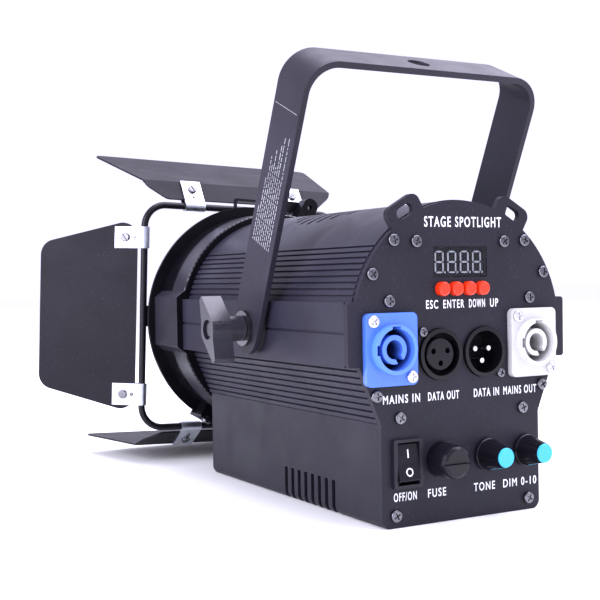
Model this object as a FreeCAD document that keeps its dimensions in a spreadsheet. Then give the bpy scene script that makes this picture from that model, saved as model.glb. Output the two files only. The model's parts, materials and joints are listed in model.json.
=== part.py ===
"""Compact LED stage spotlight with a tilting yoke and four-leaf barn doors.

Frame: +Y along the beam, +X to the right when standing behind the lamp, +Z up.
Origin: centre of the flat underside of the base, straight below the tilt axis.
All sizes are in millimetres.
"""
import FreeCAD, Part
import math
import os

Vector = FreeCAD.Vector
Rotation = FreeCAD.Rotation
Placement = FreeCAD.Placement

doc = FreeCAD.newDocument("stage_spotlight")

# ---------------------------------------------------------------- driving dimensions
DIMENSIONS = {
    # housing
    "axis_height": 84.5,
    "tilt_height": 84,
    "panel_back": 85,
    "sheet": 3,
    "panel_radius": 56,
    "body_radius": 56.5,
    "bore_radius": 53,
    "rail_half_width": 59,
    "rail_low": 69.5,
    "rail_high": 97,
    "base_half_width": 43.2,
    "base_height": 45,
    "base_front": 85,
    "wall": 2,
    "body_front": 87,
    "bezel_split": 104,
    "bezel_front": 122,
    "housing_radius": 60.2,
    "barrel_radius": 59.8,
    "bezel_radius": 66,
    "lens_radius": 54,
    "spigot_radius": 57,
    # yoke
    "yoke_half_width": 64.4,
    "yoke_thickness": 3,
    "yoke_width": 25,
    "yoke_rise": 134,
    "yoke_bend": 16,
    "yoke_lean": 24.5,
    "yoke_bolt": 5.25,
    "pivot_hole": 4.3,
    # barn doors
    "door_turn": 2.3,
    "wire_plane": 131,
    "wire_half": 65,
    "wire_bend": 13,
    "wire_radius": 2,
    "flap_sheet": 1,
    "clip_sheet": 1,
    "clip_width": 12.5,
    "clip_gap": 0.08,
    # rear controls
    "socket_across": 38.8,
    "socket_level": 76.7,
    "signal_across": 12,
    "signal_level": 73.4,
    "window_width": 29,
    "window_height": 13,
    "window_level": 113.5,
    "digits_width": 28.4,
    "digits_height": 12.6,
    "button_level": 101.8,
    "button_pitch": 7.2,
    "button_radius": 3.15,
    "control_level": 27.5,
    "knob_near": 13,
    "knob_far": 35,
    "screw_shank": 1.45,
}
sheet = doc.addObject("Spreadsheet::Sheet", "Dims")
for row, (alias, value) in enumerate(DIMENSIONS.items(), 1):
    sheet.set("A%d" % row, alias)
    sheet.set("B%d" % row, str(value))
    sheet.setAlias("B%d" % row, alias)
doc.recompute()


def dim(alias):
    """Value of one driving dimension."""
    return float(sheet.get(alias))


AXIS = dim("axis_height")
TILT = dim("tilt_height")
PANEL_BACK = -dim("panel_back")
PANEL_FRONT = PANEL_BACK + dim("sheet")
RING_CENTRE = Vector(0, 0, AXIS)
X_AXIS = Vector(1, 0, 0)
Y_AXIS = Vector(0, 1, 0)
Z_AXIS = Vector(0, 0, 1)

nodes = []
inner_screws = []
board_posts = []


# ---------------------------------------------------------------- drawing helpers
def rounded(corners, radius=0):
    """Edges of a closed polygon in its own plane; each corner is (u, v) or (u, v, its own radius)."""
    edges = []
    count = len(corners)
    starts, ends, middles = [], [], []
    for i, corner in enumerate(corners):
        here = Vector(corner[0], corner[1], 0)
        before = Vector(*corners[i - 1][:2], 0)
        after = Vector(*corners[(i + 1) % count][:2], 0)
        size = corner[2] if len(corner) > 2 else radius
        inward, outward = (before - here).normalize(), (after - here).normalize()
        half_angle = inward.getAngle(outward) / 2
        if size == 0:
            starts.append(here)
            ends.append(here)
            middles.append(None)
            continue
        setback = size / math.tan(half_angle)
        bisector = (inward + outward).normalize()
        starts.append(here + inward * setback)
        ends.append(here + outward * setback)
        middles.append(here + bisector * (size / math.sin(half_angle) - size))
    for i in range(count):
        if middles[i] is not None:
            edges.append(Part.Arc(starts[i], middles[i], ends[i]))
        following = starts[(i + 1) % count]
        if (following - ends[i]).Length > 1e-6:
            edges.append(Part.LineSegment(ends[i], following))
    return edges


def rectangle(width, height, radius=0, centre=(0, 0)):
    """Edges of a rectangle about a centre, with equal corner radii."""
    u, v = width / 2, height / 2
    corners = [(-u, -v), (u, -v), (u, v), (-u, v)]
    return rounded([(a + centre[0], b + centre[1]) for a, b in corners], radius)


def circle(radius, centre=(0, 0)):
    """One circle as a sketch edge."""
    return Part.Circle(Vector(centre[0], centre[1], 0), Z_AXIS, radius)


def prism(edges, length, place=Placement()):
    """Solid: closed edges drawn in the XY plane, pushed up by length, then placed."""
    face = Part.Face(Part.Wire([edge.toShape() for edge in edges]))
    solid = face.extrude(Vector(0, 0, length))
    solid.Placement = place
    return solid


def box(low, high):
    """Solid block between two opposite corners."""
    size = Vector(*high) - Vector(*low)
    return Part.makeBox(size.x, size.y, size.z, Vector(*low))


def rod(radius, start, end):
    """Solid cylinder from one point to another."""
    start, end = Vector(*start), Vector(*end)
    return Part.makeCylinder(radius, (end - start).Length, start, end - start)


def turned(profile, direction=Y_AXIS, centre=Vector()):
    """Solid of revolution: profile is (radius, distance along direction) points."""
    points = [Vector(radius, 0, along) for radius, along in profile]
    face = Part.Face(Part.makePolygon(points + points[:1]))
    solid = face.revolve(Vector(), Z_AXIS, 360)
    solid.Placement = Placement(centre, Rotation(Z_AXIS, direction))
    return solid


def mirrored(shapes):
    """The shapes and their mirror images across the middle of the lamp."""
    return shapes + [shape.mirror(Vector(), X_AXIS) for shape in shapes]


def about_beam(angle):
    """Turn about the beam axis; a positive angle carries the top towards +X."""
    return Placement(Vector(), Rotation(Y_AXIS, angle), RING_CENTRE)


# upright drawings (u to the right, v up) stand in the XZ plane and are pushed towards +Y
def upright(y):
    return Placement(Vector(0, y, 0), Rotation(X_AXIS, 90))


def plate(edges, low, high, holes=()):
    """Solid plate drawn as seen from behind, between two stations along Y."""
    solid = prism(edges, high - low, upright(high))
    if holes:
        solid = solid.cut([prism([hole], high - low + 2, upright(high + 1)) for hole in holes])
    return solid


# ---------------------------------------------------------------- document helpers
def keep(label, shape, place=None):
    """A sub-part whose shape is set in code."""
    if len(shape.Solids) == 1 and shape.ShapeType == "Compound":
        shape = shape.Solids[0]
    feature = doc.addObject("Part::Feature", label)
    feature.Label = label
    feature.Shape = shape
    if place is not None:
        feature.Placement = place.multiply(feature.Placement)
    nodes.append(feature)
    return feature


def group(label, shapes, place=None):
    """Equal pieces that share one node, as separate solids."""
    return keep(label, Part.makeCompound(shapes), place)


def sketch_in(body, role, name, edges):
    """Sketch on one of the body's own origin planes."""
    sketch = body.newObject("Sketcher::SketchObject", name)
    plane = [f for f in body.Origin.OriginFeatures if f.Role == role][0]
    sketch.AttachmentSupport = [(plane, "")]
    sketch.MapMode = "FlatFace"
    for edge in edges:
        sketch.addGeometry(edge, False)
    return sketch


def new_body(label):
    body = doc.addObject("PartDesign::Body", label)
    body.Label = label
    nodes.append(body)
    return body


def spun(label, edges, place=Placement()):
    """Body made by one revolution of a closed outline about its own Y axis."""
    body = new_body(label)
    sketch = sketch_in(body, "XY_Plane", label + "_profile", edges)
    spin = body.newObject("PartDesign::Revolution", label + "_spin")
    spin.Profile = sketch
    spin.ReferenceAxis = (sketch, ["V_Axis"])
    spin.Angle = 360
    sketch.Visibility = False
    body.Placement = place


def lathed(label, profile, place=Placement()):
    """Turned body; profile is (radius, y) points."""
    spun(label, rounded([tuple(point) for point in profile]), place)


def window_block(label, size, near, far):
    """Box centred on the display opening; size is the stem of its two entries on the sheet."""
    solid = doc.addObject("Part::Box", label)
    solid.Label = label
    solid.setExpression("Length", "Dims.%s_width" % size)
    solid.setExpression("Height", "Dims.%s_height" % size)
    solid.Width = far - near
    corner = Vector(-dim(size + "_width") / 2, near, dim("window_level") - dim(size + "_height") / 2)
    solid.Placement = Placement(corner, Rotation())
    nodes.append(solid)


# ---------------------------------------------------------------- fasteners
def screw(place, head_radius=2.8, head_height=1.8, length=9, slotted=False):
    """Pan-head screw: the head stands on the placement's XY plane, the shank goes to -Z."""
    shank = Part.makeCylinder(dim("screw_shank"), length, Vector(0, 0, -length))
    head = Part.makeCylinder(head_radius, head_height)
    head = head.makeFillet(head_height * 0.45, [head.Edges[0]])
    cuts = [box((-head_radius, -0.35, head_height - 0.9), (head_radius, 0.35, head_height))]
    if not slotted:
        arm = head_radius * 0.62
        cuts = [box((-arm, -0.35, head_height - 1), (arm, 0.35, head_height))]
        cuts.append(box((-0.35, -arm, head_height - 1), (0.35, arm, head_height)))
    solid = head.cut(cuts).fuse(shank).removeSplitter()
    solid.Placement = place
    return solid


def facing(point, direction, spin=0):
    """Placement whose Z axis points along direction."""
    turn = Rotation(Z_AXIS, Vector(*direction))
    return Placement(Vector(*point), turn.multiply(Rotation(Z_AXIS, spin)))


def rear_screw(x, z, spin, length=9, proud=0.0, head=2.7):
    return screw(facing((x, PANEL_BACK - proud, z), (0, -1, 0), spin), head, 1.5, length)


# screws through the rear panel: channels in the tube, in its floor and in the base
TUBE_SCREWS = [(35.7, 123), (46.7, 108.6), (45.3, 57), (33.6, 47)]
BOARD_SCREWS = [(24, 122.5), (38.4, 97)]
BASE_SCREWS = [(36.4, 5.4)]
SIGNAL_SCREW = (9.2, 9.9)
SWITCH_X = -30.5
FUSE_X = -12
FLOOR_SCREWS = [(-27, -40), (-27, 40), (27, -40), (27, 40)]


# ---------------------------------------------------------------- housing
def panel_outline():
    """Rear outline: round top, side ears, tapered flanks and the square base."""
    ear, low, high = dim("rail_half_width"), dim("rail_low"), dim("rail_high")
    half, radius = dim("base_half_width"), dim("panel_radius")
    rise = high - AXIS
    reach = math.sqrt(radius ** 2 - rise ** 2)
    side = [(half, 0, 4), (half, dim("base_height")), (53.5, low), (ear, low, 1.5), (ear, high, 1.5)]
    corners = [(-u, *rest) for u, *rest in side[::-1]] + side
    lower = rounded([(-reach, high)] + corners + [(reach, high)])[:-1]
    return lower + [Part.Arc(Vector(reach, high, 0), Vector(0, AXIS + radius, 0), Vector(-reach, high, 0))]


def rear_panel():
    solid = plate(panel_outline(), PANEL_BACK, PANEL_FRONT)
    tabs, slots = [], []
    for angle in (-30, 30):
        place = about_beam(angle)
        tab = plate(rectangle(18.5, 30, 4, (0, AXIS + 48.8)), PANEL_BACK, PANEL_FRONT)
        tab.Placement = place.multiply(tab.Placement)
        slot = plate(rectangle(9, 5, 2.4, (0, AXIS + 58.6)), PANEL_BACK - 1, PANEL_FRONT + 1)
        slot.Placement = place.multiply(slot.Placement)
        tabs.append(tab)
        slots.append(slot)
    window = rectangle(dim("window_width") + 0.4, dim("window_height") + 0.4, 0.5, (0, dim("window_level")))
    switch = rectangle(13.4, 19.4, 0.5, (SWITCH_X, dim("control_level")))
    cuts = [plate(hole, PANEL_BACK - 1, PANEL_FRONT + 1) for hole in (window, switch)]
    round_holes = [(x, dim("button_level"), dim("button_radius") + 0.1) for x in button_places()]
    round_holes += [(s * dim("socket_across"), dim("socket_level"), 11.6) for s in (-1, 1)]
    round_holes += [(s * dim("signal_across"), dim("signal_level"), 11.35) for s in (-1, 1)]
    round_holes += [(FUSE_X, dim("control_level"), 6.3)]
    round_holes += [(x, dim("control_level"), 3.7) for x in (dim("knob_near"), dim("knob_far"))]
    screws = [(s * x, z) for x, z in TUBE_SCREWS + BOARD_SCREWS + BASE_SCREWS for s in (-1, 1)]
    screws += signal_screw_places() + socket_screw_places()
    round_holes += [(x, z, 1.6) for x, z in screws]
    cuts += [rod(r, (x, PANEL_BACK - 1, z), (x, PANEL_FRONT + 1, z)) for x, z, r in round_holes]
    keep("rear_panel", solid.fuse(tabs).removeSplitter().cut(slots + cuts))


def button_places():
    return [dim("button_pitch") * (i - 1.5) for i in range(4)]


def signal_screw_places():
    """One small screw beside each round signal socket, on the side away from the other socket."""
    across, level = dim("signal_across"), dim("signal_level")
    return [(s * (across + SIGNAL_SCREW[0]), level - s * SIGNAL_SCREW[1]) for s in (-1, 1)]


def socket_screw_places():
    """Two screws on a diagonal of each power socket flange."""
    across, level = dim("socket_across"), dim("socket_level")
    return [(s * across + t * 9.6, level - t * 12) for s in (-1, 1) for t in (-1, 1)]


def body_section(radius, low, half, shoulder):
    """Round top with tapered flanks down to a flat floor."""
    reach = math.sqrt(radius ** 2 - (shoulder[1] - AXIS) ** 2)
    left, right = Vector(-reach, shoulder[1], 0), Vector(reach, shoulder[1], 0)
    points = [left, Vector(-shoulder[0], shoulder[1], 0), Vector(-half, low, 0)]
    points += [Vector(half, low, 0), Vector(shoulder[0], shoulder[1], 0), right]
    edges = [Part.LineSegment(a, b) for a, b in zip(points, points[1:]) if (a - b).Length > 1e-6]
    return edges + [Part.Arc(right, Vector(0, AXIS + radius, 0), left)]


def body_extrusion():
    back, front = PANEL_FRONT, dim("body_front")
    half, low = dim("base_half_width"), dim("base_height")
    outer = plate(body_section(dim("body_radius"), low, half, (53.5, dim("rail_low"))), back, front)
    rails = [box((s * 50 if s > 0 else -dim("rail_half_width"), back, dim("rail_low")),
                 (dim("rail_half_width") if s > 0 else -50, front, dim("rail_high"))) for s in (-1, 1)]
    inner = plate(body_section(dim("bore_radius"), low + 3, 39.9, (49.5, 71)), back - 1, front + 1)
    shell = outer.fuse(rails).cut(inner)
    channels = [rod(3.4, (s * x, back, z), (s * x, front, z)) for x, z in TUBE_SCREWS for s in (-1, 1)]
    shell = shell.fuse([channel.common(outer) for channel in channels]).removeSplitter()
    depth, gap = 1.0, 1.05
    grooves = []
    for k in range(9):
        cut = box((dim("body_radius") - depth, back - 1, -gap / 2), (dim("body_radius") + 5, front + 1, gap / 2))
        cut.Placement = Placement(RING_CENTRE, Rotation(Y_AXIS, -(15.4 + 3.05 * k)))
        grooves.append(cut)
    slope = math.degrees(math.atan2(53.5 - half, dim("rail_low") - low))
    for k in range(8):
        cut = box((-depth, back - 1, -gap / 2), (3, front + 1, gap / 2))
        share = (k + 0.8) / 8.4
        foot = Vector(half + share * (53.5 - half), 0, low + share * (dim("rail_low") - low))
        cut.Placement = Placement(foot, Rotation(Y_AXIS, slope))
        grooves.append(cut)
    face = dim("rail_half_width")
    grooves.append(box((face - 0.9, back - 1, TILT - 0.6), (face + 1, front + 1, TILT + 0.6)))
    cuts = mirrored(grooves)
    cuts += [rod(dim("pivot_hole"), (s * 45, 0, TILT), (s * 62, 0, TILT)) for s in (-1, 1)]
    cuts += [rod(1.5, (s * x, back - 1, z), (s * x, back + 14, z)) for x, z in TUBE_SCREWS for s in (-1, 1)]
    cuts += [rod(1.5, (s * x, front + 1, z), (s * x, front - 14, z)) for x, z in TUBE_SCREWS for s in (-1, 1)]
    cuts += fan_slots()
    cuts.append(box((-22, -50, low - 1), (22, 50, low + 4)))
    cuts += [rod(1.5, (x, y, low - 1), (x, y, low + 4)) for x, y in FLOOR_SCREWS]
    keep("body_extrusion", shell.cut(cuts))


def fan_slots():
    """Seven crosswise slots over the fan, shorter towards the ends of the round pattern."""
    slots = []
    for k in range(-3, 4):
        along = 8.2 * k
        half = 27 - 0.0132 * along ** 2
        slots.append(box((-half, 3.6 + along - 1.3, AXIS + 40), (half, 3.6 + along + 1.3, AXIS + 60)))
    return slots


def base_cover():
    half, height, front = dim("base_half_width"), dim("base_height"), dim("base_front")
    wall = dim("wall")
    outer = plate(rounded([(-half, 0, 4), (half, 0, 4), (half, height - 0.2), (-half, height - 0.2)]),
                  PANEL_FRONT, front)
    inner = box((-half + wall, PANEL_FRONT - 1, wall), (half - wall, front - wall, height + 1))
    bosses = [box((s * x - 4, PANEL_FRONT, z - 4), (s * x + 4, PANEL_FRONT + 10, z + 4))
              for x, z in BASE_SCREWS for s in (-1, 1)]
    tabs = mirrored([box((23.2, y - 4, height - 3.2), (half, y + 4, height - 0.2)) for y in (-40, 40)])
    shell = outer.cut(inner).fuse([boss.common(outer) for boss in bosses] + [tab.common(outer) for tab in tabs])
    cuts = [rod(1.5, (s * x, PANEL_FRONT - 1, z), (s * x, PANEL_FRONT + 8, z)) for x, z in BASE_SCREWS for s in (-1, 1)]
    cuts += [rod(1.5, (x, y, height - 4), (x, y, height + 1)) for x, y in FLOOR_SCREWS]
    for k in range(8):
        y = -46.4 + 6.4 * k
        cuts += mirrored([box((half - 12, y, -1), (half + 1, y + 2.8, 15.5))])
    keep("base_cover", shell.cut(cuts).removeSplitter())


def front_housing():
    """Collar that repeats the tube's outline, with a tongue over each rail along the bezel barrel."""
    rear, split, radius = dim("body_front") + 0.3, dim("bezel_split"), dim("housing_radius")
    bore = dim("spigot_radius") + 0.2
    tip = dim("bezel_front") - 2.8
    ring = turned([(49, rear), (radius - 0.8, rear), (radius, rear + 0.8), (radius, split), (bore, split),
                   (bore, rear + 4), (49, rear + 4)], Y_AXIS, RING_CENTRE)
    face, low, high = dim("rail_half_width") + 3.3, dim("rail_low"), dim("rail_high")
    core = rod(bore, (0, rear - 1, AXIS), (0, split, AXIS))
    barrel = rod(dim("barrel_radius") + 0.2, (0, split, AXIS), (0, tip + 1, AXIS))
    tongue = plate(rounded([(50, low - 2.5), (57, low - 2.5), (face, low + 1.5, 1), (face, high + 1, 1),
                            (57, high + 5), (50, high + 5)]), rear, tip)
    tongues = mirrored([tongue.cut([core, barrel])])
    cuts = [rod(1.6, (s * x, rear - 1, z), (s * x, rear + 9, z)) for x, z in TUBE_SCREWS[1:3] for s in (-1, 1)]
    keep("front_housing", ring.fuse(tongues).removeSplitter().cut(cuts))
    inner_screws.extend(screw(facing((s * x, rear + 4, z), (0, 1, 0), 20 * s), 2.6, 1.5, 12)
                        for x, z in TUBE_SCREWS[1:3] for s in (-1, 1))


LATCH_PIVOT = (39.4, 150.5)


def lens_bezel():
    """Barrel that holds the lens, with a flange in front, a latch lug and two clip pads."""
    rear, front, radius = dim("bezel_split") + 0.3, dim("bezel_front"), dim("bezel_radius")
    spigot, barrel = dim("spigot_radius"), dim("barrel_radius")
    flange = front - 2.6
    ring = turned([(54.6, rear - 6.3), (spigot, rear - 6.3), (spigot, rear), (barrel, rear), (barrel, flange),
                   (radius, flange), (radius, front - 0.8), (radius - 0.8, front),
                   (57, front), (57, front - 4), (51.6, front - 4), (51.6, front - 6.8), (54.6, front - 6.8)],
                  Y_AXIS, RING_CENTRE)
    x, z = LATCH_PIVOT
    lug = plate(rectangle(10, 26, 4.5, (0, AXIS + 69.5)), front - 6, front + 1.9)
    lug.Placement = about_beam(math.degrees(math.atan2(x, z - AXIS))).multiply(lug.Placement)
    inside = [rod(radius - 0.5, (0, flange, AXIS), (0, front + 4, AXIS)),
              rod(barrel - 0.2, (0, front - 8, AXIS), (0, flange, AXIS))]
    cuts = [rod(1.6, (x, front - 8, z), (x, front + 4, z))]
    pads = []
    for turn in (-150, 150):
        pad = box((-6, front - 11.5, AXIS + barrel - 1), (6, flange + 1, AXIS + radius))
        hole = rod(1.6, (0, front - 8, AXIS + 60), (0, front - 8, AXIS + 70))
        for piece, store in ((pad, pads), (hole, cuts)):
            piece.Placement = about_beam(turn).multiply(piece.Placement)
            store.append(piece)
    body = ring.fuse([lug.cut(inside)] + pads).removeSplitter()
    keep("lens_bezel", body.cut(cuts))


def optics():
    front = dim("bezel_front")
    radius = dim("lens_radius")
    seat = Placement(Vector(0, front - 13, AXIS), Rotation())
    # plano-convex lens: flat behind, a domed front face, a flat rim under the gasket
    dome = 10.5
    flat = radius - 3
    sphere = (flat ** 2 + dome ** 2) / (2 * dome)
    rim = 3
    middle = math.radians(0.5 * math.degrees(math.asin(flat / sphere)))
    tip = Vector(0, rim + dome, 0)
    bulge = Vector(sphere * math.sin(middle), rim + dome - sphere + sphere * math.cos(middle), 0)
    points = [Vector(0, 0, 0), Vector(radius, 0, 0), Vector(radius, rim, 0), Vector(flat, rim, 0)]
    edges = [Part.LineSegment(a, b) for a, b in zip(points, points[1:])]
    edges += [Part.Arc(points[-1], bulge, tip), Part.LineSegment(tip, points[0])]
    spun("front_lens", edges, seat)
    lathed("lens_gasket", [(51.7, 3.05), (54.4, 3.05), (54.4, 6.1), (51.7, 6.1)], seat)
    lathed("lens_retaining_ring", [(50, -2.4), (54.5, -2.4), (54.5, -0.05), (50, -0.05)], seat)
    # ellipsoidal reflector: a thin shell from the light source to the lens
    place = Placement(Vector(0, 36.4, AXIS), Rotation())
    long_axis, short_axis, shell = 62.0, 36.8, 1.2
    steps = 9

    def ellipse(inset):
        result = []
        for k in range(steps + 1):
            along = 60.0 * k / steps
            from_middle = (along + 4 - long_axis) / long_axis
            result.append((short_axis * math.sqrt(1 - from_middle ** 2) - inset, along))
        return result
    lathed("reflector", ellipse(0) + [(56.8, 60), (56.8, 61.5), (36.4, 61.5)] + ellipse(shell)[::-1], place)


def light_engine():
    # finned heat sink: base plate to the front, upright fins behind it
    base = box((-36, 28, 58), (36, 34, 109))
    fins = [box((-36 + 6 * k, -24, 58), (-34.4 + 6 * k, 28, 109)) for k in range(13)]
    posts = [rod(1.4, (s * 17, 22, AXIS + t * 17), (s * 17, 35, AXIS + t * 17)) for s in (-1, 1) for t in (-1, 1)]
    board = box((-20, 34, AXIS - 20), (20, 35.6, AXIS + 20))
    board = board.cut([rod(1.6, (s * 17, 33, AXIS + t * 17), (s * 17, 37, AXIS + t * 17))
                       for s in (-1, 1) for t in (-1, 1)])
    emitter = turned([(0, -0.1), (11, -0.1), (11, 0.7), (9.6, 0.7), (9.6, 0.5), (0, 0.5)], Y_AXIS,
                     Vector(0, 35.6, AXIS))
    keep("led_module", board.fuse(emitter).removeSplitter())
    inner_screws.extend(screw_small(facing((s * 17, 35.6, AXIS + t * 17), (0, 1, 0), 30))
                        for s in (-1, 1) for t in (-1, 1))
    ears = mirrored([box((35, 29, 80), (52.2, 33, 90))])
    keep("heat_sink", base.fuse(fins + ears).removeSplitter().cut(posts))


def screw_small(place):
    """Small screw for boards."""
    head = Part.makeCylinder(2.3, 1.3).cut(box((-1.5, -0.3, 0.6), (1.5, 0.3, 1.4)))
    solid = head.fuse(Part.makeCylinder(1.3, 6, Vector(0, 0, -6))).removeSplitter()
    solid.Placement = place
    return solid


FAN_BOTTOM = 112.0
FAN_MIDDLE = (0, 3.6)


def fan():
    x, y = FAN_MIDDLE
    frame = prism(rectangle(60, 60, 4, FAN_MIDDLE), 14, Placement(Vector(0, 0, FAN_BOTTOM), Rotation()))
    tunnel = rod(28, (x, y, FAN_BOTTOM - 1), (x, y, FAN_BOTTOM + 15))
    holes = [rod(2.1, (x + 25 * s, y + 25 * t, FAN_BOTTOM - 1), (x + 25 * s, y + 25 * t, FAN_BOTTOM + 15))
             for s in (-1, 1) for t in (-1, 1)]
    hub = rod(12, (x, y, FAN_BOTTOM), (x, y, FAN_BOTTOM + 2))
    axle = rod(1.5, (x, y, FAN_BOTTOM + 2), (x, y, FAN_BOTTOM + 10))
    arms = []
    for angle in (45, 165, 285):
        arm = box((5, -1.5, 0), (29, 1.5, 2))
        arm.Placement = Placement(Vector(x, y, FAN_BOTTOM), Rotation(Z_AXIS, angle))
        arms.append(arm)
    keep("fan_frame", frame.cut([tunnel] + holes).fuse([hub, axle] + arms).removeSplitter())
    cup = rod(11, (x, y, FAN_BOTTOM + 2.6), (x, y, FAN_BOTTOM + 13))
    blades = []
    for k in range(7):
        blade = box((9, -6, -0.6), (27.2, 6, 0.6))
        blade.Placement = Placement(Vector(), Rotation(X_AXIS, 34))
        turn = Placement(Vector(x, y, FAN_BOTTOM + 7.6), Rotation(Z_AXIS, 360.0 / 7 * k))
        blade.Placement = turn.multiply(blade.Placement)
        blades.append(blade)
    bore = rod(1.56, (x, y, FAN_BOTTOM + 2), (x, y, FAN_BOTTOM + 11))
    keep("fan_rotor", cup.fuse(blades).removeSplitter().cut(bore))
    posts = [rod(1.9, (x + 25 * s, y + 25 * t, FAN_BOTTOM - 2.9), (x + 25 * s, y + 25 * t, FAN_BOTTOM + 14))
             for s in (-1, 1) for t in (-1, 1)]
    heads = [rod(3.2, (x + 25 * s, y + 25 * t, FAN_BOTTOM + 14), (x + 25 * s, y + 25 * t, FAN_BOTTOM + 15.2))
             for s in (-1, 1) for t in (-1, 1)]
    inner_screws.extend(a.fuse(b).removeSplitter() for a, b in zip(posts, heads))


def electronics():
    supply = box((-34, -48, 8), (34, 58, 9.6))
    corners = [(s * 30, y) for s in (-1, 1) for y in (-44, 54)]
    supply = supply.cut([rod(1.5, (x, y, 7), (x, y, 11)) for x, y in corners])
    board_posts.extend(rod(3, (x, y, 2.02), (x, y, 7.98)) for x, y in corners)
    parts = [box((-14, -5, 9.5), (14, 21, 33)), box((14, 30, 9.5), (32, 50, 27))]
    parts += [rod(6.5, (x, y, 9.5), (x, y, 32)) for x, y in ((-24, -34), (-24, -18), (22, -30))]
    parts += [box((-31, 28, 9.5), (-27, 52, 30)), rod(8, (4, 40, 9.5), (4, 40, 20))]
    keep("power_board", supply.fuse(parts).removeSplitter())
    outline = rounded([(-41, 93), (41, 93), (41, 100), (28, 127), (-28, 127), (-41, 100)], 1.5)
    posts = [(s * x, z) for x, z in BOARD_SCREWS for s in (-1, 1)]
    holes = [circle(1.6, place) for place in posts]
    board = plate(outline, -76.5, -75, holes)
    switches = [box((x - 3, -79.8, dim("button_level") - 3), (x + 3, -76.4, dim("button_level") + 3))
                for x in button_places()]
    keep("control_board", board.fuse(switches).removeSplitter())
    board_posts.extend(rod(3, (x, PANEL_FRONT + 0.02, z), (x, -76.52, z)).cut(
        rod(1.5, (x, PANEL_FRONT - 1, z), (x, -76, z))) for x, z in posts)
    window_block("display_window", "window", PANEL_BACK + 0.2, PANEL_BACK + 1.6)
    window_block("display_module", "digits", PANEL_BACK + 1.9, -76.55)


def buttons():
    level, radius = dim("button_level"), dim("button_radius")
    for number, x in enumerate(button_places(), 1):
        flange = dim("button_pitch") / 2 - 0.15
        profile = [(0, -3.2), (radius - 0.8, -3.2), (radius - 0.2, -2.9), (radius, -2.2), (radius, 3.15),
                   (flange, 3.15), (flange, 4), (0, 4)]
        lathed("menu_button_%d" % number, profile, Placement(Vector(x, PANEL_BACK, level), Rotation()))


# ---------------------------------------------------------------- sockets
def power_socket(label, x, key_turn):
    level = dim("socket_level")
    face = PANEL_BACK - 3
    flange = plate(rectangle(26, 31, 2.6, (x, level)), face, PANEL_BACK - 0.02)
    collar = rod(10.6, (x, face - 3.6, level), (x, PANEL_BACK, level))
    can = rod(11.3, (x, PANEL_BACK - 0.02, level), (x, PANEL_BACK + 19, level))
    cavity = rod(8.9, (x, face - 4, level), (x, PANEL_BACK + 16, level))
    core = rod(6.2, (x, face - 1.6, level), (x, PANEL_BACK + 17, level)).cut(
        rod(4.1, (x, face - 3, level), (x, PANEL_BACK + 12, level)))
    slot = box((-1.6, face - 3, 0), (1.6, PANEL_BACK + 12, 9))
    slot.Placement = Placement(Vector(x, 0, level), Rotation(Y_AXIS, key_turn))
    keys = []
    for angle in (0, -90):
        key = box((-2.1, face - 4, 8), (2.1, PANEL_BACK + 8, 9.9))
        key.Placement = Placement(Vector(x, 0, level), Rotation(Y_AXIS, angle))
        keys.append(key)
    holes = [rod(1.6, (sx, face - 1, sz), (sx, PANEL_BACK, sz)) for sx, sz in socket_screw_places()
             if abs(sx - x) < 15]
    solid = flange.fuse([collar, can]).removeSplitter().cut([cavity] + keys + holes)
    keep(label, solid.fuse(core.cut(slot)).removeSplitter())


def signal_socket(name, x, male):
    """Round three-pole socket: a shell clamped behind the panel and an insert in its bore."""
    level = dim("signal_level")
    middle = Vector(x, PANEL_BACK, level)
    shell = rod(11.2, (x, PANEL_BACK - 1.6, level), (x, PANEL_FRONT + 0.05, level))
    flange = plate(rectangle(23.8, 29, 3, (x, level)), PANEL_FRONT + 0.02, PANEL_FRONT + 2)
    can = rod(10.8, (x, PANEL_FRONT + 1, level), (x, PANEL_FRONT + 16, level))
    bore = rod(9.4, (x, PANEL_BACK - 3, level), (x, PANEL_FRONT + 17, level))
    holes = [rod(1.5, (sx, PANEL_FRONT - 1, sz), (sx, PANEL_FRONT + 4, sz)) for sx, sz in signal_screw_places()
             if abs(sx - x) < 11]
    keep(name + "_shell", shell.fuse([flange, can]).removeSplitter().cut([bore] + holes))
    reach = 4
    poles = [(x + reach * math.sin(math.radians(a)), level + reach * math.cos(math.radians(a)))
             for a in (-70, 70, 180)]
    if male:
        insert = turned([(0, 11), (9.35, 11), (9.35, 18.5), (0, 18.5)], Y_AXIS, middle)
        insert = insert.cut([rod(1.15, (px, -80, pz), (px, -60, pz)) for px, pz in poles])
        keep(name + "_insert", insert)
        group(name + "_pins", [rod(1.1, (px, PANEL_BACK + 1, pz), (px, PANEL_FRONT + 18, pz)) for px, pz in poles])
        return
    insert = turned([(0, -0.6), (6.8, -0.6), (7.2, -0.2), (7.2, 6), (9.35, 6), (9.35, 18.5), (0, 18.5)],
                    Y_AXIS, middle)
    insert = insert.cut([rod(1.25, (px, -90, pz), (px, -72, pz)) for px, pz in poles])
    keep(name + "_insert", insert)


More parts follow.
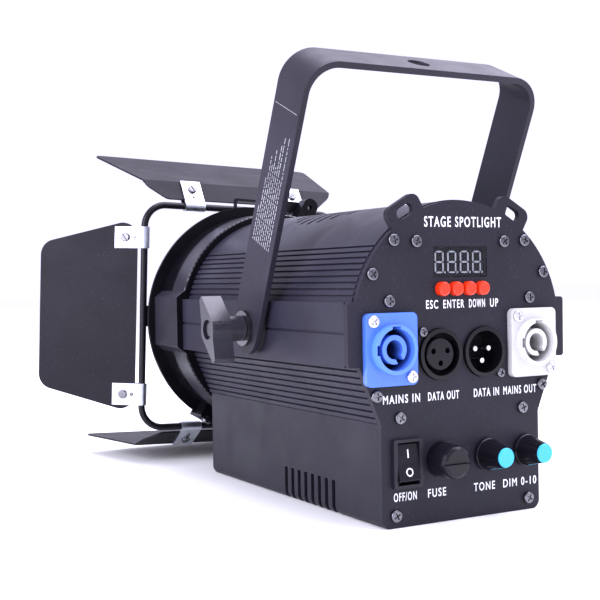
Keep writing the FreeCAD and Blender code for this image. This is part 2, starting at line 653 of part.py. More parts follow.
def fuse_and_switch():
    level = dim("control_level")
    x = FUSE_X
    body = turned([(5.15, -2), (8, -2), (8, -0.02), (6.1, -0.02), (6.1, 33), (0, 33), (0, 31), (5.15, 31)],
                  Y_AXIS, Vector(x, PANEL_BACK, level))
    keep("fuse_holder", body)
    cap = turned([(0, -12.5), (5.6, -12.5), (6.8, -11.6), (7.4, -9.5), (7.6, -2.3), (5.08, -2.3), (5.08, 6),
                  (3.4, 6), (3.4, 2), (0, 2)], Y_AXIS, Vector(x, PANEL_BACK, level))
    slot = box((x - 8, PANEL_BACK - 13, level - 0.8), (x + 8, PANEL_BACK - 10.9, level + 0.8))
    keep("fuse_cap", cap.cut(slot))
    lathed("glass_fuse", [(0, 2.1), (2.6, 2.1), (2.6, 7), (2.35, 7.2), (2.35, 17), (2.6, 17.2), (2.6, 22.1),
                          (0, 22.1)], Placement(Vector(x, PANEL_BACK, level), Rotation()))
    # rocker switch: bezel with a body behind it, and the rocker on a cross axis
    x = SWITCH_X
    bezel = plate(rectangle(15, 21, 1, (x, level)), PANEL_BACK - 2, PANEL_BACK - 0.02)
    shell = plate(rectangle(13, 19, 0.4, (x, level)), PANEL_BACK - 0.02, PANEL_BACK + 18)
    well = box((x - 5.6, PANEL_BACK - 3, level - 9.1), (x + 5.6, PANEL_BACK + 8, level + 9.1))
    pin_bore = rod(1.05, (x - 6.4, PANEL_BACK + 2, level), (x + 6.4, PANEL_BACK + 2, level))
    blades = [box((x - 3, PANEL_BACK + 18, level + dz - 0.4), (x + 3, PANEL_BACK + 26, level + dz + 0.4))
              for dz in (-6, 0, 6)]
    solid = bezel.fuse(shell).removeSplitter().cut([well, pin_bore]).fuse(blades).removeSplitter()
    keep("switch_body", solid)
    # side view of the rocker: two flat faces that meet in a shallow valley over the axis
    side = [(-8.5, 3.4, 0.5), (-8.75, 1.0, 0), (-8.4, -0.9, 0), (-7.2, -3.2, 0.5), (0, -1.75, 4), (8.4, -0.7, 0.5),
            (8.75, 1.0, 0), (8.5, 3.4, 0.5), (0, 5.5, 2)]
    rocker = stand_rocker(side, x, level)
    pin = rod(1, (x - 6.3, PANEL_BACK + 2, level), (x + 6.3, PANEL_BACK + 2, level))
    keep("switch_rocker", rocker.fuse(pin).removeSplitter())


def stand_rocker(side, x, level):
    """Prism of a (height, depth) outline, 10.8 wide across X."""
    edges = rounded([(depth, height, r) for height, depth, r in side])
    solid = prism(edges, 10.8)
    solid.Placement = Placement(Vector(x - 5.4, PANEL_BACK, level), Rotation(Vector(0, 1, 0), Vector(0, 0, 1), X_AXIS))
    return solid


def knobs():
    """Two potentiometers, their fluted tapered knobs, and a coloured face and pointer on each knob."""
    level = dim("control_level")
    controls = []
    for name, x in (("left", dim("knob_near")), ("right", dim("knob_far"))):
        middle = Vector(x, PANEL_BACK, level)
        controls.append(turned([(3.08, -5), (3.5, -5), (3.5, 3.05), (6, 3.05), (6, 12), (0, 12), (0, 11),
                                (3.08, 11)], Y_AXIS, middle))
        skirt = turned([(0, 10.9), (3, 10.9), (3, -6), (3.9, -6), (3.9, -0.8), (7.3, -0.8), (7.3, -2),
                        (6.9, -2.4), (4.5, -13.2), (0, -13.2)], Y_AXIS, middle)
        flutes = []
        for k in range(18):
            flute = rod(0.4, (0, PANEL_BACK - 13.6, 4.6), (0, PANEL_BACK - 3.2, 6.95))
            flute.Placement = Placement(Vector(x, 0, level), Rotation(Y_AXIS, 20 * k + 10))
            flutes.append(flute)
        pointer = turned([(5.75, -3.5), (7, -3.5), (4.7, -13.25), (3.6, -13.25)], Y_AXIS, middle)
        groove = box((x - 1.25, PANEL_BACK - 14, level - 8), (x + 1.25, PANEL_BACK - 3.45, level - 3))
        keep("knob_%s" % name, skirt.cut(flutes).cut(pointer.common(groove)))
        cap = turned([(0, -13.22), (4.3, -13.22), (4.3, -13.7), (3.9, -14.1), (0, -14.1)], Y_AXIS, middle)
        strip = box((x - 1.2, PANEL_BACK - 13.9, level - 8), (x + 1.2, PANEL_BACK - 3.55, level - 3.05))
        tongue = turned([(5.8, -3.55), (6.64, -3.55), (4.45, -13.3), (4.3, -13.7), (3.65, -13.7)],
                        Y_AXIS, middle)
        keep("knob_cap_%s" % name, cap.fuse(tongue.common(strip)).removeSplitter())
    group("control_bodies", controls)


# ---------------------------------------------------------------- yoke and clamps
def yoke():
    """Flat bar bent to a square arch, drilled for the clamp studs and one hanging bolt."""
    half, thick, rise = dim("yoke_half_width"), dim("yoke_thickness"), dim("yoke_rise")
    bend, width = dim("yoke_bend"), dim("yoke_width")
    low = -width / 2
    inner = half - thick
    outline = [(-half, low), (-half, rise, bend), (half, rise, bend), (half, low),
               (inner, low), (inner, rise - thick, bend - thick), (-inner, rise - thick, bend - thick), (-inner, low)]
    body = new_body("yoke")
    sketch = sketch_in(body, "XZ_Plane", "yoke_outline", rounded(outline))
    pad = body.newObject("PartDesign::Pad", "yoke_bar")
    pad.Profile = sketch
    pad.setExpression("Length", "Dims.yoke_width")
    pad.Midplane = True
    pivots = sketch_in(body, "YZ_Plane", "yoke_pivots", [circle(dim("pivot_hole"))])
    drill = body.newObject("PartDesign::Pocket", "yoke_pivot_holes")
    drill.Profile = pivots
    drill.Type = "ThroughAll"
    drill.Midplane = True
    bolt = sketch_in(body, "XY_Plane", "yoke_bolt", [circle(dim("yoke_bolt"))])
    hole = body.newObject("PartDesign::Pocket", "yoke_bolt_hole")
    hole.Profile = bolt
    hole.Type = "ThroughAll"
    hole.Midplane = True
    doc.recompute()
    ends = []
    for number, edge in enumerate(hole.Shape.Edges, 1):
        box_of = edge.BoundBox
        if box_of.XLength > 1 and box_of.ZMax < low + 0.1 and box_of.YLength < 0.1:
            ends.append("Edge%d" % number)
    round_ends = body.newObject("PartDesign::Fillet", "yoke_round_ends")
    round_ends.Base = (hole, ends)
    round_ends.Radius = width / 2 - 0.1
    body.Tip = round_ends
    body.Placement = Placement(Vector(0, 0, TILT), Rotation(X_AXIS, dim("yoke_lean")))


def washers():
    """Friction discs inside the yoke arms, plain washers outside, and the nuts inside the rails."""
    hole = dim("pivot_hole")
    rail, arm = dim("rail_half_width"), dim("yoke_half_width")
    centre = Vector(0, 0, TILT)
    group("friction_discs", mirrored([turned([(hole, rail + 0.02), (11.2, rail + 0.02), (11.2, rail + 2.15),
                                              (hole, rail + 2.15)], X_AXIS, centre)]))
    group("clamp_washers", mirrored([turned([(hole, arm + 0.15), (8.5, arm + 0.15), (8.5, arm + 1.75),
                                             (hole, arm + 1.75)], X_AXIS, centre)]))
    nut = prism([Part.LineSegment(*pair) for pair in hexagon(6.5)], 6)
    nut = nut.cut(Part.makeCylinder(4.02, 8, Vector(0, 0, -1)))
    nut.Placement = Placement(Vector(46.1, 0, TILT), Rotation(Z_AXIS, X_AXIS))
    group("rail_nuts", mirrored([nut]))


def clamp(side, name):
    """Hand clamp on one side: a threaded stud with a leaning two-winged handle."""
    start = dim("yoke_half_width") + 1.95
    end = 84.2
    stem = turned([(0, 45), (3.95, 45), (3.95, start), (6.1, start), (6.1, 74.5), (6.6, 74.5), (6.6, end), (0, end)],
                  X_AXIS)
    half = [(-6.1, 16, 0.8), (6.6, 3.2, 3), (6.4, -4.2, 1.5), (8.2, -13.7, 0.8)]
    wings = prism(rounded(half + [(-corner[0], -corner[1], corner[2]) for corner in half]), end - 74)
    wings.Placement = Placement(Vector(74, 0, 0), Rotation(Y_AXIS, Z_AXIS, X_AXIS))
    recess = turned([(3.2, end - 1.2), (3.2, end - 2.6), (4.7, end - 2.6), (4.7, end + 1), (0, end + 1),
                     (0, end - 1.2)], X_AXIS)
    handle = stem.fuse(wings).removeSplitter().cut(recess)
    turn = Rotation(Z_AXIS, 0 if side > 0 else 180)
    keep("clamp_knob_" + name, handle, Placement(Vector(0, 0, TILT), turn))


def hexagon(flat):
    """Line ends of a hexagon whose flats are at this distance from its middle."""
    reach = flat / math.cos(math.radians(30))
    points = [Vector(reach * math.cos(math.radians(60 * k)), reach * math.sin(math.radians(60 * k)), 0)
              for k in range(6)]
    return [(points[k], points[(k + 1) % 6]) for k in range(6)]


# ---------------------------------------------------------------- barn doors
def door_frame():
    """Ring plate that turns in the holder, with a collar and a welded square wire frame."""
    front, plane, half = dim("bezel_front"), dim("wire_plane"), dim("wire_half")
    bend, radius = dim("wire_bend"), dim("wire_radius")
    collar = plane - front - 0.5
    ring = turned([(53, 0.4), (65.1, 0.4), (65.1, 1.9), (57.5, 1.9), (57.5, collar), (56, collar), (56, 1.9), (53, 1.9)],
                  Y_AXIS, Vector(0, front, AXIS))
    pieces = []
    for turn in (0, 90, 180, 270):
        run = rod(radius, (-half + bend, plane, AXIS + half), (half - bend, plane, AXIS + half))
        corner = Part.makeTorus(bend, radius, Vector(), Z_AXIS, 0, 360, 90)
        corner.Placement = Placement(Vector(half - bend, plane, AXIS + half - bend), Rotation(X_AXIS, 90))
        tab = box((-6, plane - 1.8, AXIS + 57), (6, plane - 0.2, AXIS + half - 0.6))
        for piece in (run, corner, tab):
            piece.Placement = about_beam(turn).multiply(piece.Placement)
            pieces.append(piece)
    keep("barn_door_frame", ring.fuse(pieces).removeSplitter(), about_beam(dim("door_turn")))


def hinge_place(turn):
    """Puts a flap drawn about the X axis on one side of the wire frame."""
    at_top = Placement(Vector(0, dim("wire_plane"), AXIS + dim("wire_half")), Rotation())
    return about_beam(turn + dim("door_turn")).multiply(at_top)


def lie_at(angle):
    """Flap drawings (u along the hinge, v away from it) stand up at this angle from the beam."""
    return Placement(Vector(), Rotation(X_AXIS, angle))


FLAP_OUTSET = dim("wire_radius") + dim("clip_gap")


# distance from the hinge and radius of the holes for each clip's two screws
FLAP_HOLES = [(10.5, 1.6), (5.2, 1.15)]


def bent_flap(label, turn, angle, across):
    """Wide flap: a short strip at the hinge, then a bend and a flared leaf."""
    strip, leaf, bend = 16.5, 58, 37
    thick = dim("flap_sheet")
    near = rounded([(-51, 3.6, 6), (-62.5, 13, 9), (-63.5, strip + 1.2), (63.5, strip + 1.2), (62.5, 13, 9),
                    (51, 3.6, 6)][::-1])
    far = rounded([(-63.3, -1), (-75, leaf, 3.5), (75, leaf, 3.5), (63.3, -1)][::-1])
    fold = Placement(Vector(0, strip, 0), Rotation(X_AXIS, -bend))
    spread = math.radians(bend)
    inner, outer = 0.0, thick
    shift = math.tan(spread / 2)
    tip = (math.cos(spread) * leaf, -math.sin(spread) * leaf)
    lift = (math.sin(spread), math.cos(spread))
    section = [(3.0, inner), (strip + shift * inner, inner), (strip + tip[0], tip[1]),
               (strip + tip[0] + lift[0] * thick, tip[1] + lift[1] * thick),
               (strip + shift * outer, outer), (3.0, outer)]
    points = [Vector(-80, v, w) for v, w in section]
    folded = Part.Face(Part.makePolygon(points + points[:1])).extrude(Vector(160, 0, 0))
    outline = prism(near, 6, Placement(Vector(0, 0, -3), Rotation()))
    flare = prism(far, 6)
    flare.Placement = fold.multiply(Placement(Vector(0, 0, -3), Rotation()))
    solid = folded.common(outline.fuse(flare))
    lifted = Placement(Vector(0, 0, FLAP_OUTSET - thick), Rotation())
    solid = solid.cut([Part.makeCylinder(r, 20, Vector(s * across, v, -10)) for s in (-1, 1) for v, r in FLAP_HOLES])
    solid.Placement = lie_at(angle).multiply(lifted)
    keep(label, solid.removeSplitter(), hinge_place(turn))


def flat_flap(label, turn, angle, across):
    """Side flap: one flat leaf, narrower towards its free edge."""
    thick = dim("flap_sheet")
    edges = rounded([(-56.5, 3.6), (56.5, 3.6), (42, 63), (-42, 63)], 9)
    body = new_body(label)
    sketch = sketch_in(body, "XY_Plane", label + "_outline", edges)
    for v, radius in FLAP_HOLES:
        sketch.addGeometry(circle(radius, (-across, v)), False)
        sketch.addGeometry(circle(radius, (across, v)), False)
    pad = body.newObject("PartDesign::Pad", label + "_sheet")
    pad.Profile = sketch
    pad.setExpression("Length", "Dims.flap_sheet")
    lifted = Placement(Vector(0, 0, FLAP_OUTSET - thick), Rotation())
    body.Placement = hinge_place(turn).multiply(lie_at(angle)).multiply(lifted)


def flap_clips(name, turn, angle, across):
    """Two sprung clips that wrap the wire and hold the flap with a screw and nut each."""
    bore = FLAP_OUTSET
    outer = bore + dim("clip_sheet")
    width = dim("clip_width")
    edges = [Part.LineSegment(Vector(0, bore, 0), Vector(17, bore, 0)),
             Part.LineSegment(Vector(17, bore, 0), Vector(17, outer, 0)),
             Part.LineSegment(Vector(17, outer, 0), Vector(0, outer, 0)),
             Part.Arc(Vector(0, outer, 0), Vector(-outer, 0, 0), Vector(0, -outer, 0)),
             Part.LineSegment(Vector(0, -outer, 0), Vector(7, -outer, 0)),
             Part.LineSegment(Vector(7, -outer, 0), Vector(7, -bore, 0)),
             Part.LineSegment(Vector(7, -bore, 0), Vector(0, -bore, 0)),
             Part.Arc(Vector(0, -bore, 0), Vector(-bore, 0, 0), Vector(0, bore, 0))]
    clips, screws = [], []
    for x in (-across, across):
        clip = prism(edges, width)
        clip.Placement = Placement(Vector(x - width / 2, 0, 0), Rotation(Y_AXIS, Z_AXIS, X_AXIS))
        main_hole = Part.makeCylinder(1.6, 6, Vector(x, 10.5, 0))
        pinch_hole = Part.makeCylinder(1.1, 12, Vector(x, 5.2, -6))
        clips.append(clip.cut([main_hole, pinch_hole]))
        head = screw(Placement(Vector(x, 10.5, outer), Rotation(Z_AXIS, 35 if x > 0 else 110)), 2.6, 1.3, 5, True)
        nut = prism([Part.LineSegment(*pair) for pair in hexagon(2.6)], 1.9)
        nut.Placement = Placement(Vector(x, 10.5, bore - dim("flap_sheet") - 1.9), Rotation())
        nut = nut.cut(Part.makeCylinder(1.5, 8, Vector(x, 10.5, -4)))
        screws += [head, nut]
        pinch = Part.makeCylinder(1.0, 2 * outer + 1.3, Vector(x, 5.2, -outer - 0.8))
        low_head = Part.makeCylinder(1.9, 1.2, Vector(x, 5.2, -outer - 1.22))
        screws.append(pinch.fuse(low_head).removeSplitter())
    place = hinge_place(turn).multiply(lie_at(angle))
    group("clips_" + name, clips + screws, place)


FLAPS = [("top", 0, 56, 34), ("right", 90, 50, 45.5), ("bottom", 180, 37, 34), ("left", 270, 50, 45.5)]


def barn_doors():
    door_frame()
    for name, turn, angle, across in FLAPS:
        if name in ("top", "bottom"):
            bent_flap("flap_" + name, turn, angle, across)
        else:
            flat_flap("flap_" + name, turn, angle, across)
        flap_clips(name, turn, angle, across)


def holder():
    """What keeps the barn doors on: two fixed clips low down and a swinging latch on top."""
    front = dim("bezel_front")
    clips, screws = [], []
    for turn in (-150, 150):
        lip = box((-6, front + 2.2, AXIS + 60.5), (6, front + 3.7, AXIS + 68))
        leg = box((-6, front - 12, AXIS + 66.5), (6, front + 3.7, AXIS + 68))
        hole = rod(1.6, (0, front - 8, AXIS + 60), (0, front - 8, AXIS + 70))
        clip = lip.fuse(leg).removeSplitter().cut(hole)
        head = screw(facing((0, front - 8, AXIS + 68), (0, 0, 1), 15), 2.7, 1.5, 8)
        for piece, store in ((clip, clips), (head, screws)):
            piece.Placement = about_beam(turn).multiply(piece.Placement)
            store.append(piece)
    group("holder_clips", clips)
    x, z = LATCH_PIVOT
    outline = [(-8, 145.4, 0.6), (-8, 153, 1.5), (10, 153.2), (12, 154.2, 1), (44.5, 154.2, 3), (44.5, 147, 3),
               (11, 147, 0.8), (11, 151.2, 0.8), (-6.2, 151.2, 0.8), (-6.2, 145.4, 0.6)]
    latch = plate(rounded(outline), front + 2.2, front + 3.7).cut(rod(1.7, (x, front, z), (x, front + 5, z)))
    lean = Placement(Vector(), Rotation(Y_AXIS, 4), Vector(x, 0, z))
    keep("accessory_latch", latch, lean)
    screws.append(screw(facing((x, front + 3.85, z), (0, 1, 0), 20), 2.9, 1.3, 8))
    group("holder_screws", screws)


def panel_screws():
    places = [(s * x, z) for x, z in TUBE_SCREWS + BOARD_SCREWS + BASE_SCREWS for s in (-1, 1)]
    turns = (15, 70, 40, 85, 5, 30, 60)
    screws = [rear_screw(x, z, turns[i % 7], 8.5) for i, (x, z) in enumerate(places)]
    screws += [rear_screw(x, z, turns[i], 6, 0, 2.15) for i, (x, z) in enumerate(signal_screw_places())]
    group("panel_screws", screws)
    group("socket_screws", [rear_screw(x, z, turns[i + 2], 5.9, 3)
                            for i, (x, z) in enumerate(socket_screw_places())])


# ---------------------------------------------------------------- build
rear_panel()
body_extrusion()
base_cover()
front_housing()
lens_bezel()
optics()
light_engine()
fan()
electronics()
buttons()
power_socket("power_in_socket", -dim("socket_across"), 150)
power_socket("power_out_socket", dim("socket_across"), 150)
signal_socket("signal_out", -dim("signal_across"), False)
signal_socket("signal_in", dim("signal_across"), True)
fuse_and_switch()
knobs()
panel_screws()
yoke()
washers()
clamp(-1, "left")
clamp(1, "right")
barn_doors()
holder()
inner_screws.extend(screw_small(facing((x, y, dim("base_height") + 3), (0, 0, 1), 20)) for x, y in FLOOR_SCREWS)
group("inner_screws", inner_screws)
group("board_posts", board_posts)

doc.recompute()
for item in doc.Objects:
    if "Invalid" in item.State or "Error" in item.State:
        raise RuntimeError("%s did not build: %s" % (item.Label, item.State))
os.makedirs("parts", exist_ok=True)
for node in nodes:
    if node.Shape.isNull() or not node.Shape.isValid():
        raise RuntimeError("%s has no valid shape" % node.Label)
    node.Shape.exportStep("parts/%s.step" % node.Label)
print(len(nodes), "sub-parts written")
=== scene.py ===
"""Finishes, printed marks and softened edges for a compact stage spotlight with barn doors.

Everything is in metres, in the lamp's own frame: +Y along the beam, +X to the right when
standing behind the lamp, +Z up, and the origin under the tilt axis on the base's flat underside.
"""
import json
import math

import bpy
from mathutils import Matrix, Vector
from mathutils.bvhtree import BVHTree

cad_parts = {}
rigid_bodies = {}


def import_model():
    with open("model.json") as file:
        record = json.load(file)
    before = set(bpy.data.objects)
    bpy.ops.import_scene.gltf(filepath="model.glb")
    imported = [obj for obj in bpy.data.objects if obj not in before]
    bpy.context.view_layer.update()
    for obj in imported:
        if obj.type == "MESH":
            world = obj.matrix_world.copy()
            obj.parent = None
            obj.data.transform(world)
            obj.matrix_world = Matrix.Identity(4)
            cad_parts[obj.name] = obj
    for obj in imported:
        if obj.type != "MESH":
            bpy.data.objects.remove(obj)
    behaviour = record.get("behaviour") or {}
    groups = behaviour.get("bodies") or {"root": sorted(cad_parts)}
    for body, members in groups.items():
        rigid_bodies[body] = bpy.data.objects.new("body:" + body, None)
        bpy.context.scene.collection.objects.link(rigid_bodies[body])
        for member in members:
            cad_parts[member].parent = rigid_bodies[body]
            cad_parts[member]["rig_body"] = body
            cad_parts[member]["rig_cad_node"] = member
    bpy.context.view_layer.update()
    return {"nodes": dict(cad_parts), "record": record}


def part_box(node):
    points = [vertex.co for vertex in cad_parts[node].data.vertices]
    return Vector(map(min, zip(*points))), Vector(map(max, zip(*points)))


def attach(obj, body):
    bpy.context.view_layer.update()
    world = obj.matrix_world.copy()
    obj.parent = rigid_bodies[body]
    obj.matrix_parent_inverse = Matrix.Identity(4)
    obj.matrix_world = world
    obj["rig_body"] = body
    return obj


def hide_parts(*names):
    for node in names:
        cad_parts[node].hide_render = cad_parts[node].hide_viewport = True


bl_info = {
    "name": "Stage Spotlight Looks",
    "version": (1, 0, 0),
    "blender": (4, 5, 0),
    "location": "View3D > Sidebar > Spotlight",
    "description": "Finishes, printed marks and softened edges for a compact stage spotlight",
    "category": "Object",
}

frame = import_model()
MM = 0.001

PANEL_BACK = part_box("rear_panel")[0].y
PANEL_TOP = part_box("rear_panel")[1].z
BEAM_HEIGHT = sum(corner.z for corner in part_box("front_lens")) / 2


# ---------------------------------------------------------------- settings
class SpotlightSizes(bpy.types.PropertyGroup):
    """Sizes that a user would change."""

    sheet_edge: bpy.props.FloatProperty(
        name="Sheet edge", description="Radius left on the edges of bent and cut sheet metal",
        default=0.35 * MM, min=0.0, unit="LENGTH")
    moulded_edge: bpy.props.FloatProperty(
        name="Moulded edge", description="Radius on the edges of moulded plastic pieces",
        default=0.5 * MM, min=0.0, unit="LENGTH")
    fine_edge: bpy.props.FloatProperty(
        name="Fine edge", description="Radius on the edges of small trim, clips and thin flaps",
        default=0.18 * MM, min=0.0, unit="LENGTH")
    ink: bpy.props.FloatProperty(
        name="Ink", description="Thickness of the screen-printed marks",
        default=0.03 * MM, min=0.0, unit="LENGTH")
    letter: bpy.props.FloatProperty(
        name="Letter height", description="Height of the capitals under the sockets and controls",
        default=3.6 * MM, min=0.0, unit="LENGTH")
    title: bpy.props.FloatProperty(
        name="Heading height", description="Height of the capitals at the top of the rear panel",
        default=4.4 * MM, min=0.0, unit="LENGTH")
    floor: bpy.props.FloatProperty(
        name="Floor", description="Side of the square floor", default=14.0, min=1.0, unit="LENGTH")


class SpotlightColours(bpy.types.PropertyGroup):
    """Colours that a user would change."""

    coat: bpy.props.FloatVectorProperty(
        name="Coat", description="Powder coat on the sheet metal", subtype="COLOR", size=4,
        default=(0.013, 0.012, 0.019, 1), min=0, max=1)
    tube: bpy.props.FloatVectorProperty(
        name="Tube", description="Satin finish of the extruded tube", subtype="COLOR", size=4,
        default=(0.017, 0.016, 0.026, 1), min=0, max=1)
    plastic: bpy.props.FloatVectorProperty(
        name="Plastic", description="Moulded black plastic", subtype="COLOR", size=4,
        default=(0.010, 0.0095, 0.014, 1), min=0, max=1)
    inlet: bpy.props.FloatVectorProperty(
        name="Inlet", description="Plastic of the power inlet", subtype="COLOR", size=4,
        default=(0.09, 0.23, 0.86, 1), min=0, max=1)
    outlet: bpy.props.FloatVectorProperty(
        name="Outlet", description="Plastic of the power outlet", subtype="COLOR", size=4,
        default=(0.64, 0.64, 0.62, 1), min=0, max=1)
    button: bpy.props.FloatVectorProperty(
        name="Buttons", description="Plastic of the menu buttons", subtype="COLOR", size=4,
        default=(0.72, 0.030, 0.004, 1), min=0, max=1)
    pointer: bpy.props.FloatVectorProperty(
        name="Pointers", description="Plastic of the knob caps and pointers", subtype="COLOR", size=4,
        default=(0.03, 0.42, 0.66, 1), min=0, max=1)


def sizes():
    return bpy.context.scene.spotlight_sizes


def colours():
    return bpy.context.scene.spotlight_colours


# ---------------------------------------------------------------- finishes
def fresh(name, group_titles):
    """Starts a material and gives its node lists, with one node frame for each effect."""
    material = bpy.data.materials.new(name)
    material.use_nodes = True
    nodes, links = material.node_tree.nodes, material.node_tree.links
    nodes.clear()
    groups = []
    for title in group_titles:
        group = nodes.new("NodeFrame")
        group.label = title
        groups.append(group)
    return nodes, links, groups


def painted(name, colour, roughness, grain, relief, shine, stretch=1.0):
    """Sprayed or powder-coated metal: orange peel, an uneven coat, handling smears and dust."""
    nodes, links, (tint, sheen, skin) = fresh(name, ("Tint", "Sheen", "Relief"))
    place = nodes.new("ShaderNodeTexCoord")
    place.label, place.location = "Place on the lamp", (-1100, 0)

    cloud = nodes.new("ShaderNodeTexNoise")
    cloud.label, cloud.location, cloud.parent = "Uneven coat thickness", (-700, 420), tint
    cloud.inputs["Scale"].default_value = 24
    cloud.inputs["Detail"].default_value = 5
    shade = nodes.new("ShaderNodeValToRGB")
    shade.label, shade.location, shade.parent = "Thin and thick coat", (-460, 420), tint
    shade.color_ramp.elements[0].position = 0.34
    shade.color_ramp.elements[1].position = 0.70
    shade.color_ramp.elements[0].color = [c * 0.84 for c in colour[:3]] + [1]
    shade.color_ramp.elements[1].color = [c * 1.20 for c in colour[:3]] + [1]
    dust = nodes.new("ShaderNodeTexNoise")
    dust.label, dust.location, dust.parent = "Dust specks", (-700, 700), tint
    dust.inputs["Scale"].default_value = 1500
    dust.inputs["Detail"].default_value = 2
    specks = nodes.new("ShaderNodeMapRange")
    specks.label, specks.location, specks.parent = "Only the brightest specks", (-460, 700), tint
    specks.inputs["From Min"].default_value = 0.66
    specks.inputs["From Max"].default_value = 0.80
    specks.inputs["To Max"].default_value = 0.35
    dusty = nodes.new("ShaderNodeMix")
    dusty.label, dusty.location, dusty.parent = "Specks over the coat", (-200, 520), tint
    dusty.data_type = "RGBA"
    dusty.inputs["B"].default_value = (0.16, 0.16, 0.18, 1)

    smear = nodes.new("ShaderNodeTexNoise")
    smear.label, smear.location, smear.parent = "Handling smears", (-700, 120), sheen
    smear.inputs["Scale"].default_value = 42
    smear.inputs["Detail"].default_value = 6
    smear.inputs["Distortion"].default_value = 0.6
    gloss = nodes.new("ShaderNodeMapRange")
    gloss.label, gloss.location, gloss.parent = "Roughness from smears", (-460, 120), sheen
    gloss.inputs["From Min"].default_value = 0.3
    gloss.inputs["From Max"].default_value = 0.7
    gloss.inputs["To Min"].default_value = roughness - 0.06
    gloss.inputs["To Max"].default_value = roughness + 0.07

    along = nodes.new("ShaderNodeMapping")
    along.label, along.location, along.parent = "Stretch along the tube", (-900, -240), skin
    along.inputs["Scale"].default_value = (1, stretch, 1)
    peel = nodes.new("ShaderNodeTexNoise")
    peel.label, peel.location, peel.parent = "Orange peel", (-700, -240), skin
    peel.inputs["Scale"].default_value = grain
    peel.inputs["Detail"].default_value = 3
    bump = nodes.new("ShaderNodeBump")
    bump.label, bump.location, bump.parent = "Height of the peel", (-460, -240), skin
    bump.inputs["Strength"].default_value = relief
    bump.inputs["Distance"].default_value = 0.1 * MM

    shader = nodes.new("ShaderNodeBsdfPrincipled")
    shader.label, shader.location = "Coated metal", (60, 200)
    shader.inputs["Specular IOR Level"].default_value = shine
    output = nodes.new("ShaderNodeOutputMaterial")
    output.label, output.location = "Surface", (360, 200)

    links.new(place.outputs["Object"], cloud.inputs["Vector"])
    links.new(place.outputs["Object"], dust.inputs["Vector"])
    links.new(place.outputs["Object"], smear.inputs["Vector"])
    links.new(place.outputs["Object"], along.inputs["Vector"])
    links.new(cloud.outputs["Fac"], shade.inputs["Fac"])
    links.new(dust.outputs["Fac"], specks.inputs["Value"])
    links.new(specks.outputs["Result"], dusty.inputs["Factor"])
    links.new(shade.outputs["Color"], dusty.inputs["A"])
    links.new(dusty.outputs["Result"], shader.inputs["Base Color"])
    links.new(smear.outputs["Fac"], gloss.inputs["Value"])
    links.new(gloss.outputs["Result"], shader.inputs["Roughness"])
    links.new(along.outputs["Vector"], peel.inputs["Vector"])
    links.new(peel.outputs["Fac"], bump.inputs["Height"])
    links.new(bump.outputs["Normal"], shader.inputs["Normal"])
    links.new(shader.outputs["BSDF"], output.inputs["Surface"])


def deep_shade(nodes, links, place, colour, strength):
    """Paints shade into the colour inside a socket's well: darker with depth along the beam, from the flange
    to the well's floor.
    """
    well = nodes.new("NodeFrame")
    well.label = "Shade in the well"
    split = nodes.new("ShaderNodeSeparateXYZ")
    split.label, split.location, split.parent = "Depth along the beam", (-460, 640), well
    reach = nodes.new("ShaderNodeMapRange")
    reach.label, reach.location, reach.parent = "From the flange to the well's floor", (-280, 640), well
    reach.inputs["From Min"].default_value = PANEL_BACK - 4.5 * MM
    reach.inputs["From Max"].default_value = PANEL_BACK + 3 * MM
    reach.inputs["To Max"].default_value = strength
    darker = nodes.new("ShaderNodeMix")
    darker.label, darker.location, darker.parent = "Darker in the well", (-100, 520), well
    darker.data_type = "RGBA"
    # the painted shade's colour: a near-black blue at the well's floor
    darker.inputs["B"].default_value = (0.001, 0.001, 0.012, 1)
    links.new(place.outputs["Object"], split.inputs["Vector"])
    links.new(split.outputs["Y"], reach.inputs["Value"])
    links.new(reach.outputs["Result"], darker.inputs["Factor"])
    links.new(colour, darker.inputs["A"])
    return darker.outputs["Result"]


